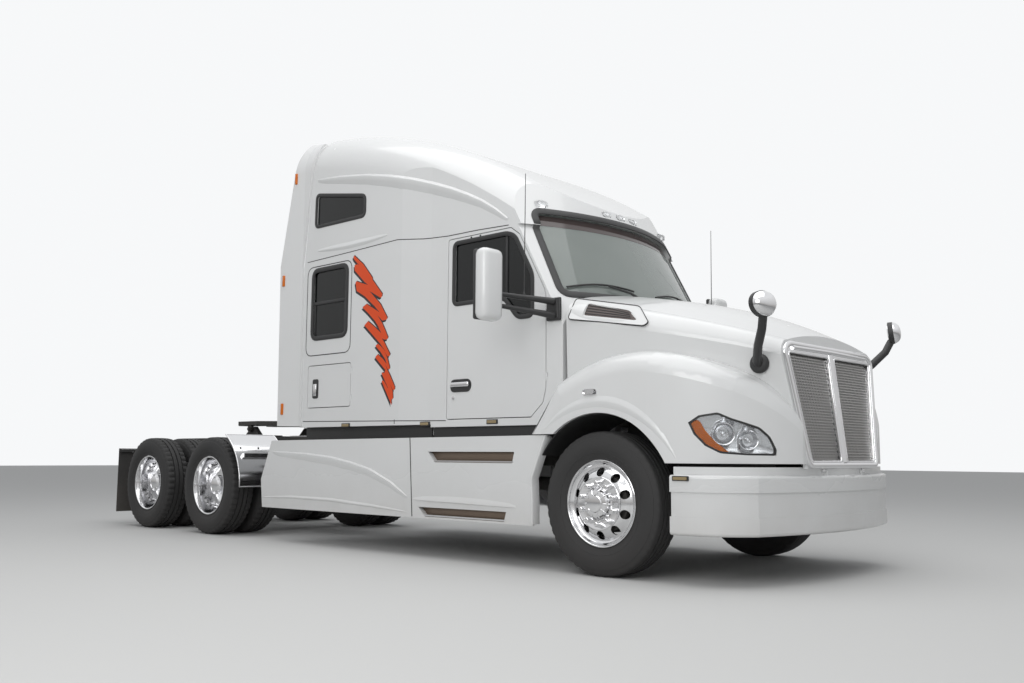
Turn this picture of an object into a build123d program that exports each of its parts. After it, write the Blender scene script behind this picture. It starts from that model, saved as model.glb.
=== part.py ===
from build123d import *
import math
import os

os.makedirs("parts", exist_ok=True)

# Highway tractor, three axles, high roof sleeper cab, in millimetres.
# The truck faces -Y. Its right side is -X. The ground is z = 0.
# A station is the distance back from the front of the bumper.

# Whole vehicle
overall_length = 8500.0
half_length = overall_length / 2
front_axle_station = 1274.0
drive_axle_stations = (6460.0, 7780.0)
panel_gap = 7.0
seat_gap = 0.3
pin_clearance = 0.05

# Wheels and tyres
tyre_radius = 505.0
tyre_half_width = 140.0
tread_half_width = 112.0
bead_half_width = 104.0
widest_radius = 400.0
rim_half_width = 118.0
rim_flange_radius = 303.0
rim_barrel_radius = 286.0
bead_radius = rim_barrel_radius + 0.3
rim_wall = 13.0
front_wheel_x = 1060.0
outer_drive_x = 1093.0
inner_drive_x = 750.0
hub_radius = 112.0
spindle_radius = 40.0
hand_holes = 10

# Frame
rail_outer_x = 430.0
rail_inner_x = 340.0
rail_top = 1020.0
rail_bottom = 753.0
rail_web = 9.0
rail_start = 330.0
rail_end = 8400.0
crossmember_stations = (420.0, 2300.0, 3300.0, 4500.0, 5600.0, 7120.0, 8340.0)
crossmember_width = 90.0

# Cab, sleeper and roof
cab_half_width = 1055.0
sleeper_half_width = 1090.0
cab_front = 1720.0
cab_back = 3180.0
sleeper_back = 5020.0
cab_floor = 1067.0
sleeper_floor = 1090.0
roof_seam = 2662.0
kink_start = 3200.0
kink_end = 3560.0
wall = 45.0
roof_shoulder = 380.0
roof_top_station = 4862.0
roof_top = 3990.0
glass_thickness = 8.0

# Windscreen: centre line of its surface and its curve in plan
screen_base_station = 1600.0
screen_base_height = 2130.0
screen_top_station = 1972.0
screen_top_height = 2800.0
screen_half_width = 1055.0
screen_bow = 255.0

# Doors
door_hinge_station = 1885.0
door_back = 2990.0
door_bottom = 1125.0
door_top = 2648.0
door_swing = 65.0

# Hood
hood_pivot_station = 45.0
hood_pivot_height = 745.0
hood_pin_radius = 9.0
hood_back = 1690.0
hood_skin = 28.0
fender_half_width = 1220.0
arch_radius = 632.0
fender_base = 790.0

# Bumper
bumper_bottom = 326.0
bumper_top = 716.0
bumper_wall = 45.0
band_bottom = 447.0
band_top = 605.0
band_depth = 8.0

# Grille
grille_bottom = 765.0
grille_top = 1615.0
grille_front = 20.0
grille_rake = 96.0
grille_depth = 54.0
mesh_pitch = 60.0
mesh_bar = 9.0
mesh_depth = 8.0

# Skirts
skirt_outer_x = 1200.0
skirt_wall = 22.0
skirt_bottom = 320.0
skirt_top = 985.0

# Fifth wheel
coupling_station = 6950.0
coupling_top = 1205.0
coupling_plate = 42.0
coupling_pivot_height = 1118.0
king_pin_radius = 25.6


side = Plane(origin=(0, -half_length, 0), x_dir=(0, 1, 0), z_dir=(1, 0, 0))
plan = Plane(origin=(0, -half_length, 0))


def section(station):
    """Plane across the truck: local x is X, local y is Z, normal points forward."""
    return Plane(origin=(0, station - half_length, 0), x_dir=(1, 0, 0), z_dir=(0, -1, 0))


def slab(outline, low_x, high_x):
    """Extrude a closed side outline of (station, height) points between two X values."""
    with BuildPart() as block:
        with BuildSketch(side.offset(low_x)):
            with BuildLine():
                Polyline(*outline, close=True)
            make_face()
        extrude(amount=high_x - low_x)
    return block.part


def box(x_low, x_high, s_low, s_high, z_low, z_high):
    """A plain block between stations s_low and s_high."""
    with BuildPart() as block:
        with BuildSketch(plan.offset(z_low)):
            with Locations(((x_low + x_high) / 2, (s_low + s_high) / 2)):
                Rectangle(x_high - x_low, s_high - s_low)
        extrude(amount=z_high - z_low)
    return block.part


def finish(block, name):
    """Label a finished piece and write it to its own file."""
    block.label = name
    export_step(block, "parts/" + name + ".step")


# Frame rails
with BuildPart() as frame_rails:
    for hand in (-1, 1):
        with BuildSketch(section(rail_end)):
            with BuildLine():
                Polyline(
                    (hand * rail_outer_x, rail_bottom),
                    (hand * rail_outer_x, rail_top),
                    (hand * rail_inner_x, rail_top),
                    (hand * rail_inner_x, rail_top - rail_web),
                    (hand * (rail_outer_x - rail_web), rail_top - rail_web),
                    (hand * (rail_outer_x - rail_web), rail_bottom + rail_web),
                    (hand * rail_inner_x, rail_bottom + rail_web),
                    (hand * rail_inner_x, rail_bottom),
                    close=True,
                )
            make_face()
        extrude(amount=rail_end - rail_start)
    for station in crossmember_stations:
        with BuildSketch(plan.offset(rail_top - rail_web - 190)):
            with Locations((0, station)):
                Rectangle(2 * (rail_outer_x - rail_web / 2), crossmember_width)
        extrude(amount=190)
finish(frame_rails.part, "frame_rails")

# Front axle beam with its king pins and leaf springs
king_pin_x = 900.0
king_pin_post = 22.0
axle_height = tyre_radius
beam_half_depth = 50.0
boss_radius = 45.0
boss_half_height = 64.0
eye_height = 55.0
spring_x = 385.0
spring_half_width = 40.0
spring_outline = [
    (620.0, rail_bottom),
    (700.0, rail_bottom),
    (700.0, 690.0),
    (front_axle_station, 590.0),
    (1880.0, 690.0),
    (1880.0, rail_bottom),
    (1960.0, rail_bottom),
    (1960.0, 650.0),
    (front_axle_station + 90, 530.0),
    (front_axle_station - 90, 530.0),
    (620.0, 650.0),
]
with BuildPart() as front_axle:
    with BuildSketch(section(front_axle_station + beam_half_depth)):
        with BuildLine():
            Polyline(
                (-king_pin_x, axle_height - 55),
                (-560, 400),
                (560, 400),
                (king_pin_x, axle_height - 55),
                (king_pin_x, axle_height + 55),
                (560, 531),
                (-560, 531),
                (-king_pin_x, axle_height + 55),
                close=True,
            )
        make_face()
    extrude(amount=2 * beam_half_depth)
    for hand in (-1, 1):
        with BuildSketch(plan.offset(axle_height - boss_half_height)):
            with Locations((hand * king_pin_x, front_axle_station)):
                Circle(boss_radius)
        extrude(amount=2 * boss_half_height)
        with BuildSketch(plan.offset(axle_height - boss_half_height - eye_height)):
            with Locations((hand * king_pin_x, front_axle_station)):
                Circle(king_pin_post)
        extrude(amount=2 * (boss_half_height + eye_height))
        with BuildSketch(side.offset(hand * spring_x - spring_half_width)):
            with BuildLine():
                Polyline(*spring_outline, close=True)
            make_face()
        extrude(amount=2 * spring_half_width)
finish(front_axle.part, "front_axle")

# Steering knuckles: two eyes on the king pin, a web and the wheel spindle
web_inner_x = king_pin_x + boss_radius + 6
web_outer_x = web_inner_x + 28
hub_inner_x = web_outer_x + 1.5
spindle_end_x = 1150.0
for hand, name in ((-1, "knuckle_right"), (1, "knuckle_left")):
    with BuildPart() as knuckle:
        lower_eye = axle_height - boss_half_height - eye_height
        upper_eye = axle_height + boss_half_height + seat_gap
        for low in (lower_eye, upper_eye):
            height = eye_height - seat_gap
            with BuildSketch(plan.offset(low)):
                with Locations((hand * king_pin_x, front_axle_station)):
                    Circle(boss_radius)
                with Locations((hand * (king_pin_x + web_outer_x) / 2, front_axle_station)):
                    Rectangle(web_outer_x - king_pin_x, 2 * boss_radius)
                with Locations((hand * king_pin_x, front_axle_station)):
                    Circle(king_pin_post + pin_clearance, mode=Mode.SUBTRACT)
            extrude(amount=height)
        with BuildSketch(plan.offset(axle_height - boss_half_height - eye_height)):
            with Locations((hand * (web_inner_x + web_outer_x) / 2, front_axle_station)):
                Rectangle(web_outer_x - web_inner_x, 2 * boss_radius)
        extrude(amount=2 * (boss_half_height + eye_height))
        with BuildSketch(side.offset(hand * web_outer_x)):
            with Locations((front_axle_station, axle_height)):
                Circle(spindle_radius)
        extrude(amount=hand * (spindle_end_x - web_outer_x))
    finish(knuckle.part, name)


def wheel_axis(station):
    """The wheel's turning axis."""
    return Axis((0, station - half_length, axle_height), (1, 0, 0))


def wheel_ring(station, profile, hand):
    """Revolve a closed (x, radius) profile about a wheel axis."""
    ring_plane = Plane(origin=(0, station - half_length, axle_height), x_dir=(1, 0, 0), z_dir=(0, -1, 0))
    with BuildPart() as ring:
        with BuildSketch(ring_plane):
            with BuildLine():
                Polyline(*[(hand * x, r) for x, r in profile], close=True)
            make_face()
        revolve(axis=wheel_axis(station))
    return ring.part


def tyre_profile(centre):
    """Tread, shoulders, sidewalls and bead seat."""
    return [
        (centre - bead_half_width, bead_radius),
        (centre - tyre_half_width, widest_radius),
        (centre - tread_half_width, tyre_radius),
        (centre + tread_half_width, tyre_radius),
        (centre + tyre_half_width, widest_radius),
        (centre + bead_half_width, bead_radius),
    ]


def hand_hole_row(station, low_x, high_x, circle, radius):
    """Cutter for the ring of hand holes through a wheel disc."""
    with BuildPart() as row:
        with BuildSketch(side.offset(low_x)):
            with Locations((station, axle_height)):
                with PolarLocations(circle, hand_holes):
                    Circle(radius)
        extrude(amount=high_x - low_x)
    return row.part


flange_inner = bead_half_width + 5.6
barrel_bore = rim_barrel_radius - rim_wall
spindle_bore = spindle_radius + pin_clearance

# Front wheels: convex disc, hub closed by its cap
front_disc_x = front_wheel_x + 130
front_disc_wall = 14.0
front_disc_radius = 238.0
front_hole_circle = 194.0
front_hole_radius = 27.0
front_rim_profile = [
    (front_wheel_x - rim_half_width, rim_flange_radius),
    (front_wheel_x - flange_inner, rim_flange_radius),
    (front_wheel_x - flange_inner, rim_barrel_radius),
    (front_wheel_x + flange_inner, rim_barrel_radius),
    (front_wheel_x + flange_inner, rim_flange_radius),
    (front_wheel_x + rim_half_width, rim_flange_radius),
    (front_disc_x, front_disc_radius),
    (front_disc_x, hub_radius),
    (front_disc_x + 40, 80),
    (front_disc_x + 40, 0),
    (spindle_end_x + 2, 0),
    (spindle_end_x + 2, spindle_bore),
    (hub_inner_x, spindle_bore),
    (hub_inner_x, hub_radius),
    (front_disc_x - front_disc_wall, hub_radius),
    (front_disc_x - front_disc_wall, front_disc_radius - 8),
    (front_wheel_x + 70, barrel_bore),
    (front_wheel_x - rim_half_width, barrel_bore),
]
for hand, tail in ((-1, "right"), (1, "left")):
    front_tyre = wheel_ring(front_axle_station, tyre_profile(front_wheel_x), hand)
    finish(front_tyre, "tyre_front_" + tail)
    rim_ring = wheel_ring(front_axle_station, front_rim_profile, hand)
    disc_span = sorted((hand * (front_disc_x - 40), hand * (front_disc_x + 20)))
    holes = hand_hole_row(front_axle_station, *disc_span, front_hole_circle, front_hole_radius)
    with BuildPart() as front_rim:
        add(rim_ring)
        add(holes, mode=Mode.SUBTRACT)
    finish(front_rim.part, "rim_front_" + tail)

# Drive wheels: two rims back to back on one hub
drive_mid_x = (outer_drive_x + inner_drive_x) / 2
disc_half = 12.0
drive_hole_circle = 172.0
drive_hole_radius = 24.0
drive_hub_inner_x = 660.0
drive_spindle_end_x = 1060.0
drive_hub_end_x = outer_drive_x + 55
drive_rim_profile = [
    (inner_drive_x - rim_half_width, rim_flange_radius),
    (inner_drive_x - flange_inner, rim_flange_radius),
    (inner_drive_x - flange_inner, rim_barrel_radius),
    (inner_drive_x + flange_inner, rim_barrel_radius),
    (inner_drive_x + flange_inner, rim_flange_radius),
    (inner_drive_x + rim_half_width, rim_flange_radius),
    (drive_mid_x - disc_half, 225),
    (drive_mid_x + disc_half, 225),
    (outer_drive_x - rim_half_width, rim_flange_radius),
    (outer_drive_x - flange_inner, rim_flange_radius),
    (outer_drive_x - flange_inner, rim_barrel_radius),
    (outer_drive_x + flange_inner, rim_barrel_radius),
    (outer_drive_x + flange_inner, rim_flange_radius),
    (outer_drive_x + rim_half_width, rim_flange_radius),
    (outer_drive_x + rim_half_width, barrel_bore),
    (outer_drive_x - 80, barrel_bore),
    (drive_mid_x + disc_half, 205),
    (drive_mid_x + disc_half, hub_radius),
    (drive_hub_end_x, 95),
    (drive_hub_end_x, 0),
    (drive_spindle_end_x + 2, 0),
    (drive_spindle_end_x + 2, spindle_bore),
    (drive_hub_inner_x, spindle_bore),
    (drive_hub_inner_x, hub_radius),
    (drive_mid_x - disc_half, hub_radius),
    (drive_mid_x - disc_half, 205),
    (inner_drive_x + 80, barrel_bore),
    (inner_drive_x - rim_half_width, barrel_bore),
]
for station, row in zip(drive_axle_stations, ("forward", "rear")):
    for hand, tail in ((-1, "right"), (1, "left")):
        inner_tyre = wheel_ring(station, tyre_profile(inner_drive_x), hand)
        outer_tyre = wheel_ring(station, tyre_profile(outer_drive_x), hand)
        finish(Compound(children=[inner_tyre, outer_tyre]), "tyres_drive_" + row + "_" + tail)
        rim_ring = wheel_ring(station, drive_rim_profile, hand)
        disc_span = sorted((hand * (drive_mid_x - 2 * disc_half), hand * (drive_mid_x + 2 * disc_half)))
        holes = hand_hole_row(station, *disc_span, drive_hole_circle, drive_hole_radius)
        with BuildPart() as drive_rim:
            add(rim_ring)
            add(holes, mode=Mode.SUBTRACT)
        finish(drive_rim.part, "rims_drive_" + row + "_" + tail)

# Drive axle housings with their spindles
housing_radius = 75.0
diff_radius = 210.0
nose_reach = 260.0
shaft_height = 590.0
with BuildPart() as drive_axles:
    for station in drive_axle_stations:
        with BuildSketch(side.offset(-drive_spindle_end_x)):
            with Locations((station, axle_height)):
                Circle(spindle_radius)
        extrude(amount=2 * drive_spindle_end_x)
        with BuildSketch(side.offset(2 - drive_hub_inner_x)):
            with Locations((station, axle_height)):
                Circle(housing_radius)
        extrude(amount=2 * (drive_hub_inner_x - 2))
        with BuildSketch(side.offset(-110)):
            with Locations((station, axle_height)):
                Circle(diff_radius)
        extrude(amount=220)
        with BuildSketch(section(station + nose_reach)):
            with Locations((0, shaft_height)):
                Circle(72)
        extrude(amount=2 * nose_reach)
finish(drive_axles.part, "drive_axles")

# Trailing arms and air springs under the rails
arm_half_width = 45.0
bag_radius = 118.0
bag_offset = 370.0
arm_x = 395.0
arm_top = axle_height - housing_radius
with BuildPart() as drive_suspension:
    for station in drive_axle_stations:
        for hand in (-1, 1):
            arm = [
                (station - 480, rail_bottom),
                (station - 360, rail_bottom),
                (station - 360, 640),
                (station - 90, arm_top),
                (station + 470, arm_top),
                (station + 470, arm_top - 45),
                (station - 110, arm_top - 45),
                (station - 480, 600),
            ]
            with BuildSketch(side.offset(hand * arm_x - arm_half_width)):
                with BuildLine():
                    Polyline(*arm, close=True)
                make_face()
            extrude(amount=2 * arm_half_width)
            with BuildSketch(plan.offset(arm_top)):
                with Locations((hand * arm_x, station + bag_offset)):
                    Circle(bag_radius)
            extrude(amount=rail_bottom - arm_top)
finish(drive_suspension.part, "drive_suspension")

# Engine block and the driveline behind it
engine_back = 1650.0
engine_top = 1650.0
engine = box(-(rail_inner_x - seat_gap), rail_inner_x - seat_gap, 760, engine_back, 560, engine_top)
finish(engine, "engine_block")

# Radiator behind the grille, standing on the rails, with its two side tanks
radiator_front = 352.0
radiator_depth = 96.0
radiator_top = 1565.0
radiator_half = rail_outer_x - 5
side_tank = 60.0
core_inset = 14.0
with BuildPart() as radiator:
    add(box(
        -radiator_half, radiator_half, radiator_front, radiator_front + radiator_depth,
        rail_top + seat_gap, radiator_top,
    ))
    fillet(radiator.edges().filter_by(Axis.Z), radius=18)
    core = radiator_half - side_tank
    for near, far in (
        (radiator_front, radiator_front + core_inset),
        (radiator_front + radiator_depth - core_inset, radiator_front + radiator_depth),
    ):
        add(box(-core, core, near, far, rail_top + 40, radiator_top - 40), mode=Mode.SUBTRACT)
finish(radiator.part, "radiator")
gearbox_length = 900.0
shaft_start = engine_back + seat_gap
with BuildPart() as driveline:
    shaft_plane = Plane(origin=(0, shaft_start - half_length, shaft_height), x_dir=(1, 0, 0), z_dir=(0, 1, 0))
    with BuildSketch(shaft_plane):
        Circle(205)
    extrude(amount=gearbox_length, taper=5)
    with BuildSketch(shaft_plane):
        Circle(60)
    extrude(amount=drive_axle_stations[0] - nose_reach - seat_gap - shaft_start)
    with BuildSketch(section(drive_axle_stations[1] - nose_reach - seat_gap)):
        with Locations((0, shaft_height)):
            Circle(50)
    extrude(amount=drive_axle_stations[1] - drive_axle_stations[0] - 2 * (nose_reach + seat_gap))
finish(driveline.part, "driveline")

# Fuel tanks
tank_radius = 300.0
tank_x = 790.0
tank_height = 640.0
tank_length = 1780.0
strap_wall = 5.0
tank_strap_stations = (3800, 4800)
with BuildPart() as fuel_tanks:
    for hand in (-1, 1):
        with BuildSketch(section(5180)):
            with Locations((hand * tank_x, tank_height)):
                Circle(tank_radius)
        extrude(amount=tank_length)
        for station in tank_strap_stations:
            with BuildSketch(section(station + 30)):
                with Locations((hand * tank_x, tank_height)):
                    Circle(tank_radius + strap_wall)
            extrude(amount=60)
            with BuildSketch(section(station + 40)):
                with Locations((hand * (rail_outer_x + 80), 850)):
                    Rectangle(160 - 2 * seat_gap, 190)
            extrude(amount=80)
    end_edges = fuel_tanks.edges().filter_by(GeomType.CIRCLE).sort_by(Axis.Y)
    chamfer(end_edges[:2] + end_edges[-2:], length=26)
finish(fuel_tanks.part, "fuel_tanks")


def plan_form(inset):
    """Plan outline of cab and sleeper, widening behind the door."""
    narrow = cab_half_width - inset
    wide = sleeper_half_width - inset
    return [
        (-narrow, 1200),
        (-narrow, kink_start),
        (-wide, kink_end),
        (-wide, 5400),
        (wide, 5400),
        (wide, kink_end),
        (narrow, kink_start),
        (narrow, 1200),
    ]


screen_rake = math.atan2(
    screen_top_height - screen_base_height, screen_top_station - screen_base_station
)


def screen_form(inset):
    """Everything behind the windscreen's curved surface, moved inwards by inset."""
    screen_plane = Plane(
        origin=(0, screen_base_station - half_length, screen_base_height),
        x_dir=(1, 0, 0),
        z_dir=(0, math.cos(screen_rake), math.sin(screen_rake)),
    )
    edge = screen_half_width
    with BuildPart() as block:
        with BuildSketch(screen_plane.offset(-1600)):
            with BuildLine():
                ThreePointArc((-edge, screen_bow + inset), (0, inset), (edge, screen_bow + inset))
                Polyline(
                    (edge, screen_bow + inset),
                    (edge + 300, screen_bow + inset),
                    (edge + 300, 9000),
                    (-edge - 300, 9000),
                    (-edge - 300, screen_bow + inset),
                    (-edge, screen_bow + inset),
                )
            make_face()
        extrude(amount=6400)
    return block.part


cowl_front_height = screen_base_height - 95
cowl_back_height = screen_base_height - 170


def cab_form(inset):
    """Cab body below the roof, open at the back and the top where it is inset."""
    low = cab_floor + inset
    high = roof_seam + 2 * inset
    with BuildPart() as block:
        with BuildSketch(side.offset(-sleeper_half_width - 50)):
            with BuildLine():
                Polyline(
                    (cab_front + inset, low),
                    (cab_back + 2 * inset, low),
                    (cab_back + 2 * inset, high),
                    (1400, high),
                    (1400, cowl_front_height + inset),
                    (cab_front + inset, cowl_back_height + inset),
                    close=True,
                )
            make_face()
        extrude(amount=2 * (sleeper_half_width + 50))
        with BuildSketch(plan):
            with BuildLine():
                Polyline(*plan_form(inset), close=True)
            make_face()
        extrude(amount=5000, mode=Mode.INTERSECT)
        add(screen_form(inset), mode=Mode.INTERSECT)
    return block.part


def sleeper_form(inset):
    """Sleeper body below the roof, open at the front and the top where it is inset."""
    low = sleeper_floor + inset
    high = roof_seam + 2 * inset
    with BuildPart() as block:
        with BuildSketch(side.offset(-sleeper_half_width - 50)):
            with BuildLine():
                Polyline(
                    (cab_back - 2 * inset, low),
                    (sleeper_back - inset, low),
                    (sleeper_back - inset, high),
                    (cab_back - 2 * inset, high),
                    close=True,
                )
            make_face()
        extrude(amount=2 * (sleeper_half_width + 50))
        with BuildSketch(plan):
            with BuildLine():
                Polyline(*plan_form(inset), close=True)
            make_face()
        extrude(amount=5000, mode=Mode.INTERSECT)
    return block.part


roof_front_station = 1925.0
roof_front_height = 2850.0
brow = 30.0


def roof_form(inset):
    """Raised roof: a long arc in side view with rounded shoulders."""
    low = roof_seam - 3 * inset
    half_width = sleeper_half_width - inset
    with BuildPart() as block:
        with BuildSketch(side.offset(-half_width)):
            with BuildLine():
                Line((sleeper_back, low), (roof_front_station - 60, low))
                Line((roof_front_station - 60, low), (roof_front_station, roof_front_height))
                ThreePointArc(
                    (roof_front_station, roof_front_height),
                    (3150, 3540),
                    (roof_top_station, roof_top),
                )
                Line((roof_top_station, roof_top), (sleeper_back, low))
            make_face()
            offset(amount=-inset)
        extrude(amount=2 * half_width)
        top = block.faces().sort_by(Axis.Z)[-1]
        shoulders = top.edges().filter_by(GeomType.CIRCLE)
        fillet(shoulders, radius=roof_shoulder - inset)
        with BuildSketch(plan):
            with BuildLine():
                Polyline(*plan_form(inset), close=True)
            make_face()
        extrude(amount=5000, mode=Mode.INTERSECT)
        add(screen_form(inset - brow), mode=Mode.INTERSECT)
    return block.part


door_outline = [
    (door_hinge_station, 1350),
    (1915, 1235),
    (2040, door_bottom),
    (door_back, door_bottom),
    (door_back, door_top),
    (2262, door_top),
    (2165, 2580),
    (1900, 2110),
    (door_hinge_station, 2040),
]
window_outline = [
    (2040, 1925),
    (2180, 1925),
    (2330, 2097),
    (2905, 2097),
    (2905, 2592),
    (2300, 2592),
    (2225, 2560),
    (2040, 2235),
]
luggage_front = 4240.0
luggage_back = 4910.0
luggage_bottom = 1270.0
luggage_top = 1680.0
sleeper_window = (4340.0, 4850.0, 1950.0, 2590.0)
roof_window = [(4100, 3043), (4835, 3048), (4830, 3341), (4100, 3212)]


def opening(outline, hand, shrink=0.0):
    """Cutter through one side wall with rounded corners, smaller by shrink."""
    with BuildPart() as cutter:
        with BuildSketch(side.offset(hand * (cab_half_width - 2 * wall))):
            with BuildLine():
                Polyline(*outline, close=True)
            make_face()
            fillet(vertices(), radius=28)
            if shrink:
                offset(amount=-shrink)
        extrude(amount=hand * (sleeper_half_width - cab_half_width + 4 * wall))
    return cutter.part


luggage_outline = [
    (luggage_front, luggage_bottom),
    (luggage_back, luggage_bottom),
    (luggage_back, luggage_top),
    (luggage_front, luggage_top),
]
sleeper_outline = [
    (sleeper_window[0], sleeper_window[2]),
    (sleeper_window[1], sleeper_window[2]),
    (sleeper_window[1], sleeper_window[3]),
    (sleeper_window[0], sleeper_window[3]),
]
screen_hole_bottom = screen_base_height - 45
screen_hole_top = screen_top_height - 25
screen_outline = [
    (-945, screen_hole_bottom),
    (945, screen_hole_bottom),
    (905, screen_hole_top),
    (-905, screen_hole_top),
]


def screen_cutter():
    """Windscreen opening, seen from the front."""
    with BuildPart() as cutter:
        with BuildSketch(section(2420)):
            with BuildLine():
                Polyline(*screen_outline, close=True)
            make_face()
            fillet(vertices(), radius=60)
        extrude(amount=1200)
    return cutter.part


hinge_setback = 3.0
hinge_depth = 2.0
hinge_eye = 8.0
hinge_pin = 4.0
hinge_half = 30.0


def hinge_disc(hand, skin_x, edge, low, high, radius, link=0.0):
    """An upright hinge cylinder near a panel's front edge, with a link back to the panel."""
    centre_x = hand * (skin_x - hinge_depth)
    centre_s = edge - hinge_setback
    with BuildPart() as disc:
        with BuildSketch(plan.offset(low)):
            with Locations((centre_x, centre_s)):
                Circle(radius)
            if link:
                with Locations((centre_x, centre_s + link / 2)):
                    Rectangle(1.6 * radius, link)
            if link:
                with Locations((centre_x, centre_s)):
                    Circle(hinge_pin + pin_clearance, mode=Mode.SUBTRACT)
        extrude(amount=high - low)
    return disc.part


door_hinges = (1400.0, 1950.0)
luggage_hinges = (1320.0, 1570.0)
foot_width = 80.0

cab_outer = cab_form(0)
cab_inner = cab_form(wall)
sleeper_outer = sleeper_form(0)
sleeper_inner = sleeper_form(wall)
roof_outer = roof_form(0)
roof_inner = roof_form(wall)
screen_hole = screen_cutter()

with BuildPart() as cab_shell:
    add(cab_outer)
    add(cab_inner, mode=Mode.SUBTRACT)
    add(screen_hole, mode=Mode.SUBTRACT)
    for hand in (-1, 1):
        add(opening(door_outline, hand), mode=Mode.SUBTRACT)
        for low in door_hinges:
            middle = low + hinge_half
            high = middle + hinge_half
            place = (hand, cab_half_width, door_hinge_station)
            add(hinge_disc(*place, middle - 1, high + 2, hinge_eye + 5), mode=Mode.SUBTRACT)
            add(hinge_disc(*place, low, middle, hinge_eye))
            add(hinge_disc(*place, low, high, hinge_pin))
        foot = sorted((hand * (rail_inner_x + 5), hand * (rail_inner_x + foot_width)))
        add(box(*foot, cab_front, cab_front + 140, rail_top + seat_gap, cab_floor))
finish(cab_shell.part, "cab_shell")

with BuildPart() as sleeper_shell:
    add(sleeper_outer)
    add(sleeper_inner, mode=Mode.SUBTRACT)
    for hand in (-1, 1):
        add(opening(luggage_outline, hand), mode=Mode.SUBTRACT)
        add(opening(sleeper_outline, hand), mode=Mode.SUBTRACT)
        for low in luggage_hinges:
            middle = low + hinge_half
            high = middle + hinge_half
            place = (hand, sleeper_half_width, luggage_front)
            add(hinge_disc(*place, middle - 1, high + 2, hinge_eye + 5), mode=Mode.SUBTRACT)
            add(hinge_disc(*place, low, middle, hinge_eye))
            add(hinge_disc(*place, low, high, hinge_pin))
        foot = sorted((hand * (rail_inner_x + 5), hand * (rail_inner_x + foot_width)))
        add(box(*foot, sleeper_back - 240, sleeper_back - 100, rail_top + seat_gap, sleeper_floor))
finish(sleeper_shell.part, "sleeper_shell")

with BuildPart() as roof_cap:
    add(roof_outer)
    add(roof_inner, mode=Mode.SUBTRACT)
    add(screen_hole, mode=Mode.SUBTRACT)
    for hand in (-1, 1):
        add(opening(roof_window, hand), mode=Mode.SUBTRACT)
finish(roof_cap.part, "roof_cap")

glass_outset = 12.0
with BuildPart() as windshield:
    add(screen_form(glass_outset))
    add(screen_form(glass_outset + glass_thickness), mode=Mode.SUBTRACT)
    add(screen_hole, mode=Mode.INTERSECT)
finish(windshield.part, "windshield")


def side_glass(outline, hand, outer_x):
    """A flat pane filling a side opening."""
    with BuildPart() as pane:
        with BuildSketch(side.offset(hand * (outer_x - glass_outset))):
            with BuildLine():
                Polyline(*outline, close=True)
            make_face()
            fillet(vertices(), radius=28)
        extrude(amount=-hand * glass_thickness)
    return pane.part


panes = []
for hand in (-1, 1):
    panes.append(side_glass(sleeper_outline, hand, sleeper_half_width))
    panes.append(side_glass(roof_window, hand, sleeper_half_width))
finish(Compound(children=panes), "sleeper_windows")

handle_station = 2820.0
handle_height = 1404.0
handle_recess = 14.0
for hand, tail in ((-1, "right"), (1, "left")):
    with BuildPart() as door:
        add(cab_outer)
        add(cab_inner, mode=Mode.SUBTRACT)
        add(opening(door_outline, hand, panel_gap), mode=Mode.INTERSECT)
        add(opening(window_outline, hand), mode=Mode.SUBTRACT)
        for low in door_hinges:
            place = (hand, cab_half_width, door_hinge_station)
            start = low + hinge_half + seat_gap
            add(hinge_disc(*place, start, start + hinge_half, hinge_eye, panel_gap + 6))
        with BuildSketch(side.offset(hand * (cab_half_width - handle_recess))):
            with Locations((handle_station, handle_height)):
                SlotOverall(250, 105)
        extrude(amount=hand * 2 * handle_recess, mode=Mode.SUBTRACT)
        with BuildSketch(side.offset(hand * (cab_half_width - handle_recess - 2))):
            with Locations((handle_station + 5, handle_height + 8)):
                SlotOverall(200, 34)
        extrude(amount=hand * (handle_recess + 4))
    finish(door.part, "door_" + tail)
    finish(side_glass(window_outline, hand, cab_half_width), "door_glass_" + tail)
    with BuildPart() as luggage_door:
        add(sleeper_outer)
        add(sleeper_inner, mode=Mode.SUBTRACT)
        add(opening(luggage_outline, hand, panel_gap), mode=Mode.INTERSECT)
        for low in luggage_hinges:
            place = (hand, sleeper_half_width, luggage_front)
            start = low + hinge_half + seat_gap
            add(hinge_disc(*place, start, start + hinge_half, hinge_eye, panel_gap + 6))
    finish(luggage_door.part, "luggage_door_" + tail)

# Hood: a tapering middle and two fenders, hollow from below
def nose_section(low_station, high_station, low, widths, heights):
    """One closed section of the hood's middle: foot, side, shoulder and crown."""
    foot, shoulder = widths
    shoulder_height, crown = heights
    lean = math.atan2(high_station - low_station, crown - low)
    leaning = Plane(
        origin=(0, low_station - half_length, low),
        x_dir=(1, 0, 0),
        z_dir=(0, -math.cos(lean), math.sin(lean)),
    )
    stretch = 1 / math.cos(lean)
    shoulder_y = (shoulder_height - low) * stretch
    crown_y = (crown - low) * stretch
    bend = 0.16 * shoulder
    with BuildSketch(leaning) as face:
        with BuildLine():
            Line((-shoulder, shoulder_y - bend), (-foot, 0))
            Line((-foot, 0), (foot, 0))
            Line((foot, 0), (shoulder, shoulder_y - bend))
            ThreePointArc(
                (shoulder, shoulder_y - bend),
                (shoulder - 0.3 * bend, shoulder_y - 0.3 * bend),
                (shoulder - bend, shoulder_y),
            )
            ThreePointArc((shoulder - bend, shoulder_y), (0, crown_y), (bend - shoulder, shoulder_y))
            ThreePointArc(
                (bend - shoulder, shoulder_y),
                (0.3 * bend - shoulder, shoulder_y - 0.3 * bend),
                (-shoulder, shoulder_y - bend),
            )
        make_face()
    return face.sketch


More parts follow.
